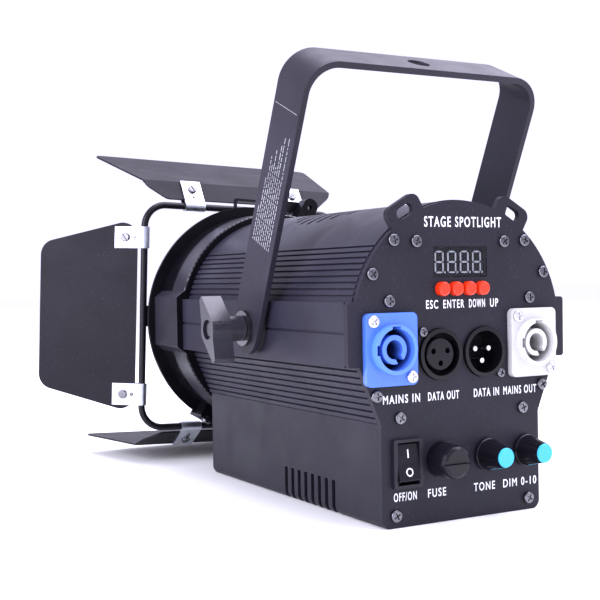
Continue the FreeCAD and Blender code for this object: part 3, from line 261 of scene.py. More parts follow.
def moulded(name, colour, roughness, relief, grain=2200, depth=0.12, shine=0.5, well=0.0):
    """Moulded plastic: mould grain, soft flow marks in the colour and a worn sheen; with well, painted shade
    inside a socket's well.
    """
    nodes, links, (tint, sheen, skin) = fresh(name, ("Tint", "Sheen", "Mould grain"))
    place = nodes.new("ShaderNodeTexCoord")
    place.label, place.location = "Place on the lamp", (-1000, 0)

    flow = nodes.new("ShaderNodeTexNoise")
    flow.label, flow.location, flow.parent = "Flow marks", (-700, 360), tint
    flow.inputs["Scale"].default_value = 60
    flow.inputs["Detail"].default_value = 3
    flow.inputs["Distortion"].default_value = 1.2
    shade = nodes.new("ShaderNodeValToRGB")
    shade.label, shade.location, shade.parent = "Light and dark flow", (-460, 360), tint
    shade.color_ramp.elements[0].position = 0.3
    shade.color_ramp.elements[1].position = 0.7
    shade.color_ramp.elements[0].color = [c * (1 - depth) for c in colour[:3]] + [1]
    shade.color_ramp.elements[1].color = [min(1, c * (1 + depth)) for c in colour[:3]] + [1]

    rub = nodes.new("ShaderNodeTexNoise")
    rub.label, rub.location, rub.parent = "Rubbed patches", (-700, 80), sheen
    rub.inputs["Scale"].default_value = 90
    rub.inputs["Detail"].default_value = 5
    gloss = nodes.new("ShaderNodeMapRange")
    gloss.label, gloss.location, gloss.parent = "Roughness from rubbing", (-460, 80), sheen
    gloss.inputs["From Min"].default_value = 0.3
    gloss.inputs["From Max"].default_value = 0.7
    gloss.inputs["To Min"].default_value = max(0.04, roughness - 0.06)
    gloss.inputs["To Max"].default_value = roughness + 0.06

    pebbles = nodes.new("ShaderNodeTexVoronoi")
    pebbles.label, pebbles.location, pebbles.parent = "Spark-eroded grain", (-700, -220), skin
    pebbles.inputs["Scale"].default_value = grain
    bump = nodes.new("ShaderNodeBump")
    bump.label, bump.location, bump.parent = "Height of the grain", (-460, -220), skin
    bump.inputs["Strength"].default_value = relief
    bump.inputs["Distance"].default_value = 0.05 * MM

    shader = nodes.new("ShaderNodeBsdfPrincipled")
    shader.label, shader.location = "Plastic", (60, 200)
    shader.inputs["IOR"].default_value = 1.49
    shader.inputs["Specular IOR Level"].default_value = shine
    output = nodes.new("ShaderNodeOutputMaterial")
    output.label, output.location = "Surface", (360, 200)

    tinted = shade.outputs["Color"]
    # painted shade: the colour grows darker deeper inside a socket's well
    if well:
        tinted = deep_shade(nodes, links, place, tinted, well)
    links.new(place.outputs["Object"], flow.inputs["Vector"])
    links.new(place.outputs["Object"], rub.inputs["Vector"])
    links.new(place.outputs["Object"], pebbles.inputs["Vector"])
    links.new(flow.outputs["Fac"], shade.inputs["Fac"])
    links.new(tinted, shader.inputs["Base Color"])
    links.new(rub.outputs["Fac"], gloss.inputs["Value"])
    links.new(gloss.outputs["Result"], shader.inputs["Roughness"])
    links.new(pebbles.outputs["Distance"], bump.inputs["Height"])
    links.new(bump.outputs["Normal"], shader.inputs["Normal"])
    links.new(shader.outputs["BSDF"], output.inputs["Surface"])


def bare_metal(name, colour, roughness, relief, streak=(1, 1, 1), grain=900):
    """Bare or plated metal: rolling or turning streaks, spots in the plating and an uneven sheen."""
    nodes, links, (tint, sheen, skin) = fresh(name, ("Plating", "Sheen", "Tool marks"))
    place = nodes.new("ShaderNodeTexCoord")
    place.label, place.location = "Place on the lamp", (-1100, 0)

    spots = nodes.new("ShaderNodeTexVoronoi")
    spots.label, spots.location, spots.parent = "Plating crystals", (-700, 360), tint
    spots.inputs["Scale"].default_value = 420
    shade = nodes.new("ShaderNodeValToRGB")
    shade.label, shade.location, shade.parent = "Bright and dull crystals", (-460, 360), tint
    shade.color_ramp.elements[0].color = [c * 0.86 for c in colour[:3]] + [1]
    shade.color_ramp.elements[1].color = [min(1, c * 1.06) for c in colour[:3]] + [1]

    haze = nodes.new("ShaderNodeTexNoise")
    haze.label, haze.location, haze.parent = "Haze and fingerprints", (-700, 80), sheen
    haze.inputs["Scale"].default_value = 130
    haze.inputs["Detail"].default_value = 5
    gloss = nodes.new("ShaderNodeMapRange")
    gloss.label, gloss.location, gloss.parent = "Roughness from haze", (-460, 80), sheen
    gloss.inputs["From Min"].default_value = 0.3
    gloss.inputs["From Max"].default_value = 0.7
    gloss.inputs["To Min"].default_value = max(0.05, roughness - 0.07)
    gloss.inputs["To Max"].default_value = roughness + 0.09

    along = nodes.new("ShaderNodeMapping")
    along.label, along.location, along.parent = "Direction of the streaks", (-900, -220), skin
    along.inputs["Scale"].default_value = streak
    lines = nodes.new("ShaderNodeTexNoise")
    lines.label, lines.location, lines.parent = "Fine streaks", (-700, -220), skin
    lines.inputs["Scale"].default_value = grain
    lines.inputs["Detail"].default_value = 2
    bump = nodes.new("ShaderNodeBump")
    bump.label, bump.location, bump.parent = "Depth of the streaks", (-460, -220), skin
    bump.inputs["Strength"].default_value = relief
    bump.inputs["Distance"].default_value = 0.05 * MM

    shader = nodes.new("ShaderNodeBsdfPrincipled")
    shader.label, shader.location = "Metal", (60, 200)
    shader.inputs["Metallic"].default_value = 1
    output = nodes.new("ShaderNodeOutputMaterial")
    output.label, output.location = "Surface", (360, 200)

    links.new(place.outputs["Object"], spots.inputs["Vector"])
    links.new(place.outputs["Object"], haze.inputs["Vector"])
    links.new(place.outputs["Object"], along.inputs["Vector"])
    links.new(spots.outputs["Distance"], shade.inputs["Fac"])
    links.new(shade.outputs["Color"], shader.inputs["Base Color"])
    links.new(haze.outputs["Fac"], gloss.inputs["Value"])
    links.new(gloss.outputs["Result"], shader.inputs["Roughness"])
    links.new(along.outputs["Vector"], lines.inputs["Vector"])
    links.new(lines.outputs["Fac"], bump.inputs["Height"])
    links.new(bump.outputs["Normal"], shader.inputs["Normal"])
    links.new(shader.outputs["BSDF"], output.inputs["Surface"])


def clear(name, colour, roughness, ior, shine=0.5):
    """Polished glass or clear acrylic with a faint haze and a few wipe marks."""
    nodes, links, (sheen,) = fresh(name, ("Wipe marks",))
    place = nodes.new("ShaderNodeTexCoord")
    place.label, place.location = "Place on the lamp", (-900, 0)
    wipes = nodes.new("ShaderNodeTexNoise")
    wipes.label, wipes.location, wipes.parent = "Wipe marks", (-700, 0), sheen
    wipes.inputs["Scale"].default_value = 70
    wipes.inputs["Detail"].default_value = 6
    wipes.inputs["Distortion"].default_value = 2
    haze = nodes.new("ShaderNodeMapRange")
    haze.label, haze.location, haze.parent = "Haze", (-460, 0), sheen
    haze.inputs["From Min"].default_value = 0.45
    haze.inputs["From Max"].default_value = 0.85
    haze.inputs["To Min"].default_value = roughness
    haze.inputs["To Max"].default_value = roughness + 0.06
    shader = nodes.new("ShaderNodeBsdfPrincipled")
    shader.label, shader.location = "Clear body", (-160, 100)
    shader.inputs["Base Color"].default_value = colour
    shader.inputs["Transmission Weight"].default_value = 1
    shader.inputs["IOR"].default_value = ior
    shader.inputs["Specular IOR Level"].default_value = shine
    output = nodes.new("ShaderNodeOutputMaterial")
    output.label, output.location = "Surface", (160, 100)
    links.new(place.outputs["Object"], wipes.inputs["Vector"])
    links.new(wipes.outputs["Fac"], haze.inputs["Value"])
    links.new(haze.outputs["Result"], shader.inputs["Roughness"])
    links.new(shader.outputs["BSDF"], output.inputs["Surface"])


def make_finishes():
    """Every finish of the lamp, by the maker's name for it."""
    c = colours()
    painted("powder coat", c.coat, roughness=0.50, grain=2600, relief=0.35, shine=0.22)
    painted("tube coat", c.tube, roughness=0.40, grain=1500, relief=0.16, shine=0.20, stretch=0.03)
    painted("yoke coat", [v * 1.2 for v in c.coat], roughness=0.46, grain=2300, relief=0.30, shine=0.24)
    painted("door coat", [v * 0.5 for v in c.coat], roughness=0.40, grain=2300, relief=0.22, shine=0.15)
    painted("wire coat", [v * 0.3 for v in c.coat], roughness=0.32, grain=2300, relief=0.12, shine=0.25)
    moulded("collar plastic", [v * 1.6 for v in c.plastic], roughness=0.34, relief=0.20)
    # also laid on the collar's back faces as painted shade
    moulded("barrel plastic", [v * 0.3 for v in c.plastic], roughness=0.30, relief=0.10, shine=0.12)
    moulded("bezel plastic", c.plastic, roughness=0.36, relief=0.20, shine=0.28)
    moulded("clamp plastic", [v * 1.8 for v in c.plastic], roughness=0.30, relief=0.22, grain=1500, shine=0.8)
    moulded("control plastic", [v * 0.6 for v in c.plastic], roughness=0.20, relief=0.10, grain=3000,
            shine=0.24)
    moulded("gloss black plastic", [v * 0.4 for v in c.plastic], roughness=0.12, relief=0.05, grain=3000,
            shine=0.26)
    # well sets how dark the painted shade inside each socket's well grows
    moulded("inlet plastic", c.inlet, roughness=0.20, relief=0.06, grain=2600, depth=0.05, well=0.90)
    moulded("outlet plastic", c.outlet, roughness=0.24, relief=0.06, grain=2600, depth=0.03, well=0.55)
    moulded("button plastic", c.button, roughness=0.22, relief=0.04, grain=2600, depth=0.05)
    moulded("pointer plastic", c.pointer, roughness=0.28, relief=0.05, grain=2600, depth=0.05)
    moulded("white ink", (0.86, 0.87, 0.88), roughness=0.50, relief=0.10, grain=5000, depth=0.04)
    moulded("rubbed ink", (0.42, 0.42, 0.44), roughness=0.50, relief=0.10, grain=5000, depth=0.30)
    moulded("segment white", (0.92, 0.93, 0.94), roughness=0.40, relief=0.05, grain=4000, depth=0.03)
    moulded("digit block", (0.004, 0.004, 0.006), roughness=0.35, relief=0.08, grain=3000, shine=0.05)
    moulded("rubber", (0.014, 0.014, 0.014), roughness=0.62, relief=0.30, grain=1800)
    moulded("white ceramic", (0.78, 0.77, 0.72), roughness=0.42, relief=0.10, grain=2600, depth=0.05)
    moulded("phosphor", (0.82, 0.60, 0.06), roughness=0.50, relief=0.30, grain=3500, depth=0.10)
    moulded("solder mask", (0.012, 0.13, 0.045), roughness=0.30, relief=0.10, grain=1200, depth=0.20)
    bare_metal("zinc plate", (0.54, 0.57, 0.63), roughness=0.32, relief=0.10)
    bare_metal("nickel plate", (0.72, 0.72, 0.74), roughness=0.24, relief=0.08)
    bare_metal("black oxide", (0.17, 0.17, 0.185), roughness=0.17, relief=0.12)
    bare_metal("spun aluminium", (0.90, 0.91, 0.92), roughness=0.12, relief=0.06, streak=(1, 0.1, 1),
               grain=1600)
    bare_metal("extruded aluminium", (0.62, 0.63, 0.65), roughness=0.38, relief=0.20, streak=(1, 1, 0.03))
    clear("lens glass", (0.93, 0.97, 0.98, 1), roughness=0.0, ior=1.52)
    clear("smoked acrylic", (0.66, 0.68, 0.71, 1), roughness=0.02, ior=1.3, shine=0.1)
    clear("fuse glass", (0.95, 0.97, 0.96, 1), roughness=0.01, ior=1.5)


def finish(name):
    material = bpy.data.materials.get(name)
    if material is None:
        raise RuntimeError("no finish is named " + name)
    return material


def coat_node(node, name):
    """Gives a carried-over CAD node its finish."""
    for place in frame["nodes"][node].material_slots:
        place.material = finish(name)


# ---------------------------------------------------------------- modelling helpers
def deselect():
    if bpy.context.object and bpy.context.object.mode != "OBJECT":
        bpy.ops.object.mode_set(mode="OBJECT")
    bpy.ops.object.select_all(action="DESELECT")


def pick(piece):
    deselect()
    piece.select_set(True)
    bpy.context.view_layer.objects.active = piece


def shift(piece, wanted, offset):
    """Moves the points of a piece that pass a test."""
    bpy.ops.object.mode_set(mode="EDIT")
    bpy.ops.mesh.select_mode(type="VERT")
    bpy.ops.mesh.select_all(action="DESELECT")
    bpy.ops.object.mode_set(mode="OBJECT")
    for point in piece.data.vertices:
        point.select = wanted(point.co)
    bpy.ops.object.mode_set(mode="EDIT")
    bpy.ops.transform.translate(value=offset)
    bpy.ops.object.mode_set(mode="OBJECT")


def settle(piece, name, body, material):
    """Names a finished piece, puts its place into its mesh and makes it ride on its body."""
    pick(piece)
    bpy.ops.object.transform_apply(location=True, rotation=True, scale=True)
    piece.name = name
    piece.data.name = name
    piece.data.materials.clear()
    piece.data.materials.append(finish(material))
    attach(piece, body)


def body_of(node):
    return next(body for body, nodes in frame["record"]["behaviour"]["bodies"].items() if node in nodes)


def join(pieces):
    deselect()
    for piece in pieces:
        piece.select_set(True)
    bpy.context.view_layer.objects.active = pieces[0]
    bpy.ops.object.join()
    return bpy.context.object


def refinish_small(piece, largest, material):
    """Gives every loose solid below a size, such as a screw or a nut, its own finish."""
    pick(piece)
    bpy.ops.mesh.separate(type="LOOSE")
    solids = list(bpy.context.selected_objects)
    for solid in solids:
        if max(solid.dimensions) < largest:
            solid.data.materials[0] = finish(material)
    solids.remove(piece)
    join([piece] + solids)


def softened(node, edge, material, small=None):
    """A merged copy of a CAD node whose sharp edges are rounded off; it stands for that node."""
    deselect()
    source = frame["nodes"][node]
    piece = source.copy()
    piece.data = source.data.copy()
    piece.parent = None
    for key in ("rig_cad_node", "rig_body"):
        del piece[key]
    bpy.context.scene.collection.objects.link(piece)
    pick(piece)
    bpy.ops.object.mode_set(mode="EDIT")
    bpy.ops.mesh.select_all(action="SELECT")
    bpy.ops.mesh.remove_doubles(threshold=0.002 * MM)
    bpy.ops.mesh.dissolve_limited(angle_limit=math.radians(0.6))
    bpy.ops.object.mode_set(mode="OBJECT")
    bevel = piece.modifiers.new("Rounded edges", "BEVEL")
    bevel.width = edge
    bevel.segments = 2
    bevel.limit_method = "ANGLE"
    bevel.angle_limit = math.radians(32)
    bevel.use_clamp_overlap = True
    bevel.miter_outer = "MITER_ARC"
    bpy.ops.object.modifier_apply(modifier=bevel.name)
    bpy.ops.object.shade_smooth_by_angle(angle=math.radians(50))
    flat = piece.modifiers.new("Flat faces stay flat", "WEIGHTED_NORMAL")
    flat.mode = "FACE_AREA"
    flat.weight = 100
    flat.keep_sharp = True
    bpy.ops.object.modifier_apply(modifier=flat.name)
    settle(piece, node + "_finished", body_of(node), material)
    if small:
        refinish_small(piece, *small)
    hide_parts(node)
    return piece


def paint_shade_behind(piece, material):
    """Paints shade on the faces that look towards the back of the lamp by giving them a second, darker
    finish.
    """
    piece.data.materials.append(finish(material))
    steepest = -0.7
    for face in piece.data.polygons:
        if face.normal.y < steepest:
            face.material_index = 1


# ---------------------------------------------------------------- housing
class SPOTLIGHT_OT_finishes(bpy.types.Operator):
    """Make every finish of the lamp"""

    bl_idname = "spotlight.finishes"
    bl_label = "Finishes"

    def execute(self, context):
        make_finishes()
        return {"FINISHED"}


class SPOTLIGHT_OT_housing(bpy.types.Operator):
    """Finish the tube, its rear panel, the base box, the front collar and the lens barrel"""

    bl_idname = "spotlight.housing"
    bl_label = "Housing"

    def execute(self, context):
        softened("rear_panel", sizes().sheet_edge, "powder coat")
        softened("base_cover", sizes().sheet_edge, "powder coat")
        coat_node("body_extrusion", "tube coat")
        # the collar's back faces get the darker barrel plastic as painted shade
        paint_shade_behind(softened("front_housing", sizes().moulded_edge, "collar plastic"), "barrel plastic")
        softened("lens_bezel", sizes().moulded_edge, "barrel plastic")
        return {"FINISHED"}


class SPOTLIGHT_OT_yoke(bpy.types.Operator):
    """Finish the yoke, its friction discs and both clamp handles"""

    bl_idname = "spotlight.yoke"
    bl_label = "Yoke and clamps"

    def execute(self, context):
        softened("yoke", sizes().sheet_edge, "yoke coat")
        for side in ("left", "right"):
            softened("clamp_knob_" + side, sizes().moulded_edge, "clamp plastic")
        coat_node("friction_discs", "rubber")
        coat_node("clamp_washers", "black oxide")
        coat_node("rail_nuts", "nickel plate")
        return {"FINISHED"}


class SPOTLIGHT_OT_barn_doors(bpy.types.Operator):
    """Finish the wire frame, the four flaps with their clips, and what holds them on"""

    bl_idname = "spotlight.barn_doors"
    bl_label = "Barn doors"

    def execute(self, context):
        softened("barn_door_frame", sizes().fine_edge, "wire coat")
        for side in ("top", "right", "bottom", "left"):
            softened("flap_" + side, sizes().fine_edge, "door coat")
            softened("clips_" + side, sizes().fine_edge, "zinc plate", (9 * MM, "black oxide"))
        softened("accessory_latch", sizes().fine_edge, "wire coat")
        softened("holder_clips", sizes().fine_edge, "wire coat")
        coat_node("holder_screws", "black oxide")
        return {"FINISHED"}


class SPOTLIGHT_OT_controls(bpy.types.Operator):
    """Finish the menu buttons, knobs, rocker switch and fuse holder"""

    bl_idname = "spotlight.controls"
    bl_label = "Controls"

    def execute(self, context):
        for number in (1, 2, 3, 4):
            coat_node("menu_button_%d" % number, "button plastic")
        for side in ("left", "right"):
            coat_node("knob_" + side, "control plastic")
            softened("knob_cap_" + side, sizes().fine_edge, "pointer plastic")
        softened("switch_rocker", sizes().fine_edge, "control plastic")
        softened("switch_body", sizes().fine_edge, "bezel plastic")
        softened("fuse_cap", sizes().fine_edge, "control plastic")
        coat_node("fuse_holder", "control plastic")
        return {"FINISHED"}


class SPOTLIGHT_OT_sockets(bpy.types.Operator):
    """Finish the power and signal sockets"""

    bl_idname = "spotlight.sockets"
    bl_label = "Sockets"

    def execute(self, context):
        softened("power_in_socket", sizes().sheet_edge, "inlet plastic")
        softened("power_out_socket", sizes().sheet_edge, "outlet plastic")
        for name in ("signal_out", "signal_in"):
            coat_node(name + "_shell", "gloss black plastic")
            coat_node(name + "_insert", "control plastic")
        coat_node("signal_in_pins", "nickel plate")
        return {"FINISHED"}


class SPOTLIGHT_OT_fasteners(bpy.types.Operator):
    """Finish the screws on the rear panel"""

    bl_idname = "spotlight.fasteners"
    bl_label = "Fasteners"

    def execute(self, context):
        coat_node("panel_screws", "black oxide")
        coat_node("socket_screws", "nickel plate")
        coat_node("inner_screws", "nickel plate")
        return {"FINISHED"}


class SPOTLIGHT_OT_inner_parts(bpy.types.Operator):
    """Finish the lens, the light engine, the fan and the boards"""

    bl_idname = "spotlight.inner_parts"
    bl_label = "Inner parts"

    def execute(self, context):
        finishes = {
            "front_lens": "lens glass", "lens_gasket": "rubber", "lens_retaining_ring": "nickel plate",
            "reflector": "spun aluminium", "heat_sink": "extruded aluminium", "led_module": "white ceramic",
            "fan_frame": "bezel plastic", "fan_rotor": "control plastic", "board_posts": "nickel plate",
            "power_board": "solder mask", "control_board": "solder mask", "control_bodies": "bezel plastic",
            "display_module": "digit block", "display_window": "smoked acrylic", "glass_fuse": "fuse glass",
        }
        for node, name in finishes.items():
            coat_node(node, name)
        return {"FINISHED"}


# ---------------------------------------------------------------- printed marks
def letters(text, height, x_low, x_high, z, y):
    """One word of raised ink that reads from behind the lamp and fills the span between two x values."""
    deselect()
    bpy.ops.object.text_add(location=((x_low + x_high) / 2, y, z), rotation=(math.pi / 2, 0, 0))
    word = bpy.context.object
    word.data.body = text
    word.data.align_x = "CENTER"
    word.data.align_y = "CENTER"
    word.data.size = height / 0.70
    word.data.space_character = 1.25
    word.data.offset = 0.022 * height
    word.data.resolution_u = 5
    word.data.extrude = sizes().ink / 2
    bpy.ops.object.convert(target="MESH")
    word = bpy.context.object
    word.scale.x = (x_high - x_low) / word.dimensions.x
    bpy.ops.object.transform_apply(location=True, rotation=True, scale=True)
    return word


def ring_mark(radius, band, x, z, y):
    """A printed ring: a circle's rim drawn inwards to a band and given the ink's thickness."""
    deselect()
    bpy.ops.mesh.primitive_circle_add(vertices=32, radius=radius, location=(x, y, z),
                                      rotation=(math.pi / 2, 0, 0))
    ring = bpy.context.object
    bpy.ops.object.transform_apply(location=True, rotation=True, scale=True)
    bpy.ops.object.mode_set(mode="EDIT")
    bpy.ops.mesh.select_all(action="SELECT")
    bpy.ops.mesh.extrude_edges_move()
    bpy.ops.transform.resize(value=((radius - band) / radius,) * 3)
    bpy.ops.object.mode_set(mode="OBJECT")
    wall = ring.modifiers.new("Ink", "SOLIDIFY")
    wall.thickness = sizes().ink
    wall.offset = 0
    bpy.ops.object.modifier_apply(modifier=wall.name)
    return ring


def drape(mark, node):
    """Lays a mark drawn at y = 0 on the surface of a node, as seen from behind the lamp."""
    mesh = frame["nodes"][node].data
    tree = BVHTree.FromPolygons([v.co for v in mesh.vertices], [tuple(f.vertices) for f in mesh.polygons])
    for vertex in mark.data.vertices:
        hit = tree.ray_cast(Vector((vertex.co.x, -1, vertex.co.z)), Vector((0, 1, 0)))[0]
        if hit is None:
            raise RuntimeError("a mark misses " + node)
        vertex.co.y += hit.y - sizes().ink / 2


class SPOTLIGHT_OT_panel_print(bpy.types.Operator):
    """Print plain words beside the display, sockets and controls"""

    bl_idname = "spotlight.panel_print"
    bl_label = "Panel print"

    def execute(self, context):
        panel = PANEL_BACK - sizes().ink / 2
        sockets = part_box("power_in_socket")[0].z - 6.2 * MM
        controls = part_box("fuse_holder")[0].z - 6.5 * MM
        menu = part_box("menu_button_1")[0].z - 3.45 * MM
        letter, title = sizes().letter, sizes().title
        # each row: its height, its letters' height, then each word with its left and right ends in mm
        rows = (
            (PANEL_TOP - 12.1 * MM, title, (("STAGE SPOTLIGHT", -19.4, 22.9),)),
            (menu, letter, (("ESC", -19.0, -12.6), ("ENTER", -9.9, 1.5), ("DOWN", 4.3, 13.2),
                            ("UP", 16.0, 20.6))),
            (sockets, letter, (("MAINS IN", -42.0, -22.9), ("DATA OUT", -18.7, -2.0), ("DATA IN", 6.3, 20.5),
                               ("MAINS OUT", 22.9, 42.2))),
            (controls, letter, (("OFF/ON", -37.2, -25.3), ("FUSE", -19.5, -9.8), ("TONE", 5.6, 17.5),
                                ("DIM 0-10", 22.1, 41.5))),
        )
        words = [letters(text, height, low * MM, high * MM, z, panel)
                 for z, height, row in rows for text, low, high in row]
        settle(join(words), "panel_print", "housing", "white ink")
        return {"FINISHED"}


class SPOTLIGHT_OT_rocker_marks(bpy.types.Operator):
    """Print the bar and the ring on the two halves of the rocker"""

    bl_idname = "spotlight.rocker_marks"
    bl_label = "Rocker marks"

    def execute(self, context):
        low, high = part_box("switch_rocker")
        across, level = (low.x + high.x) / 2, (low.z + high.z) / 2
        bar = letters("I", 3.6 * MM, across - 0.3 * MM, across + 0.3 * MM, level + 4.0 * MM, 0)
        ring = ring_mark(1.8 * MM, 0.55 * MM, across, level - 3.6 * MM, 0)
        for mark in (bar, ring):
            drape(mark, "switch_rocker")
        settle(join([bar, ring]), "rocker_marks", "rocker", "white ink")
        return {"FINISHED"}


class SPOTLIGHT_OT_yoke_print(bpy.types.Operator):
    """Print a plain ruled block on the outer face of the left yoke arm"""

    bl_idname = "spotlight.yoke_print"
    bl_label = "Yoke print"

    def execute(self, context):
        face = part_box("yoke")[0].x - sizes().ink / 2
        pivot = Vector((face, 0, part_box("clamp_washers")[0].z + 8.5 * MM))
        bolt = next(m for m in frame["record"]["mounts"] if m["name"] == "yoke_bolt")
        up = Vector(bolt["axis"]).normalized()
        across = Vector((0, -up.z, up.y))
        bars = [self.bar(pivot + up * 108.5 * MM, across, 21 * MM, 0.16 * MM)]
        # the rows of dashes start at one height above the pivot and end at these, in mm
        start, ends = 43, (60, 72, 84, 78, 88, 82, 90, 94, 76, 96)
        for row, end in enumerate(ends):
            offset = (row - (len(ends) - 1) / 2) * 1.85 * MM
            here, count = start * MM, 0
            while here < end * MM:
                length = (1.0 + 0.8 * ((row * 5 + count * 7) % 4)) * MM
                middle = pivot + up * (here + length / 2) + across * offset
                bars.append(self.bar(middle, up, length, 0.38 * MM))
                here += length + 0.7 * MM
                count += 1
        settle(join(bars), "yoke_print", "yoke", "rubbed ink")
        return {"FINISHED"}

    def bar(self, middle, along, length, width):
        """One printed dash, lying on the arm's outer face."""
        deselect()
        bpy.ops.mesh.primitive_cube_add(size=1)
        dash = bpy.context.object
        side = Vector((1, 0, 0)).cross(along)
        dash.matrix_world = Matrix((
            (sizes().ink, 0, 0, middle.x),
            (0, along.y * length, side.y * width, middle.y),
            (0, along.z * length, side.z * width, middle.z),
            (0, 0, 0, 1)))
        bpy.ops.object.transform_apply(location=True, rotation=True, scale=True)
        return dash


class SPOTLIGHT_OT_display(bpy.types.Operator):
    """Build the four unlit digits behind the display window"""

    bl_idname = "spotlight.display"
    bl_label = "Display digits"

    def execute(self, context):
        low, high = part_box("display_module")
        front = low.y - 0.02 * MM
        width, height = (high.x - low.x), (high.z - low.z)
        pitch = width / 4.15
        tall, wide, stroke = height * 0.72, pitch * 0.60, 0.75 * MM
        bar, post = wide - stroke, tall / 2 - stroke
        middle = (low.z + high.z) / 2
        pieces = []
        for digit in range(4):
            x = (low.x + high.x) / 2 + (digit - 1.55) * pitch
            for z in (-tall / 2, 0, tall / 2):
                pieces.append(self.segment(x, middle + z, front, bar, stroke, False))
            for side in (-1, 1):
                for z in (-tall / 4, tall / 4):
                    pieces.append(self.segment(x + side * wide / 2, middle + z, front, post, stroke, True))
            pieces.append(self.point(x + pitch * 0.44, middle - tall / 2, front, stroke * 0.62))
        settle(join(pieces), "display_digits", "housing", "segment white")
        return {"FINISHED"}

    def segment(self, x, z, y, length, stroke, standing):
        """A six-sided bar: a hexagon whose two halves are pulled apart, with the ink's thickness."""
        deselect()
        bpy.ops.mesh.primitive_circle_add(vertices=6, radius=stroke * 0.577, fill_type="NGON",
                                          location=(x, y, z), rotation=(math.pi / 2, 0, 0))
        piece = bpy.context.object
        bpy.ops.object.transform_apply(location=True, rotation=True, scale=True)
        stretch = length / 2 - stroke * 0.5
        for side in (-1, 1):
            if standing:
                shift(piece, lambda point: side * (point.z - z) > 0.001 * MM, (0, 0, side * stretch))
            else:
                shift(piece, lambda point: side * (point.x - x) > 0.001 * MM, (side * stretch, 0, 0))
        bpy.ops.object.mode_set(mode="EDIT")
        bpy.ops.mesh.select_all(action="SELECT")
        bpy.ops.mesh.extrude_region_move(TRANSFORM_OT_translate={"value": (0, -0.05 * MM, 0)})
        bpy.ops.mesh.select_all(action="SELECT")
        bpy.ops.mesh.normals_make_consistent(inside=False)
        bpy.ops.object.mode_set(mode="OBJECT")
        return piece

    def point(self, x, z, y, radius):
        """The round decimal point beside a digit."""
        deselect()
        bpy.ops.mesh.primitive_cylinder_add(vertices=16, radius=radius, depth=0.05 * MM,
                                            location=(x, y - 0.025 * MM, z), rotation=(math.pi / 2, 0, 0))
        piece = bpy.context.object
        bpy.ops.object.transform_apply(location=True, rotation=True, scale=True)
        return piece


class SPOTLIGHT_OT_light_source(bpy.types.Operator):
    """Build the phosphor dome field on the light engine"""

    bl_idname = "spotlight.light_source"
    bl_label = "Light source"

    def execute(self, context):
        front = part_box("led_module")[1].y
        dies = []
        pitch = 2.6 * MM
        for row in range(-3, 4):
            for column in range(-3, 4):
                if row * row + column * column > 10:
                    continue  # outside the round field
                deselect()
                bpy.ops.mesh.primitive_uv_sphere_add(segments=12, ring_count=8, radius=1.0 * MM)
                dome = bpy.context.object
                dome.scale = (1, 0.35, 1)
                dome.location = (column * pitch, front - 0.25 * MM, BEAM_HEIGHT + row * pitch)
                bpy.ops.object.transform_apply(location=True, rotation=True, scale=True)
                bpy.ops.object.shade_smooth()
                dies.append(dome)
        settle(join(dies), "phosphor_domes", "housing", "phosphor")
        return {"FINISHED"}


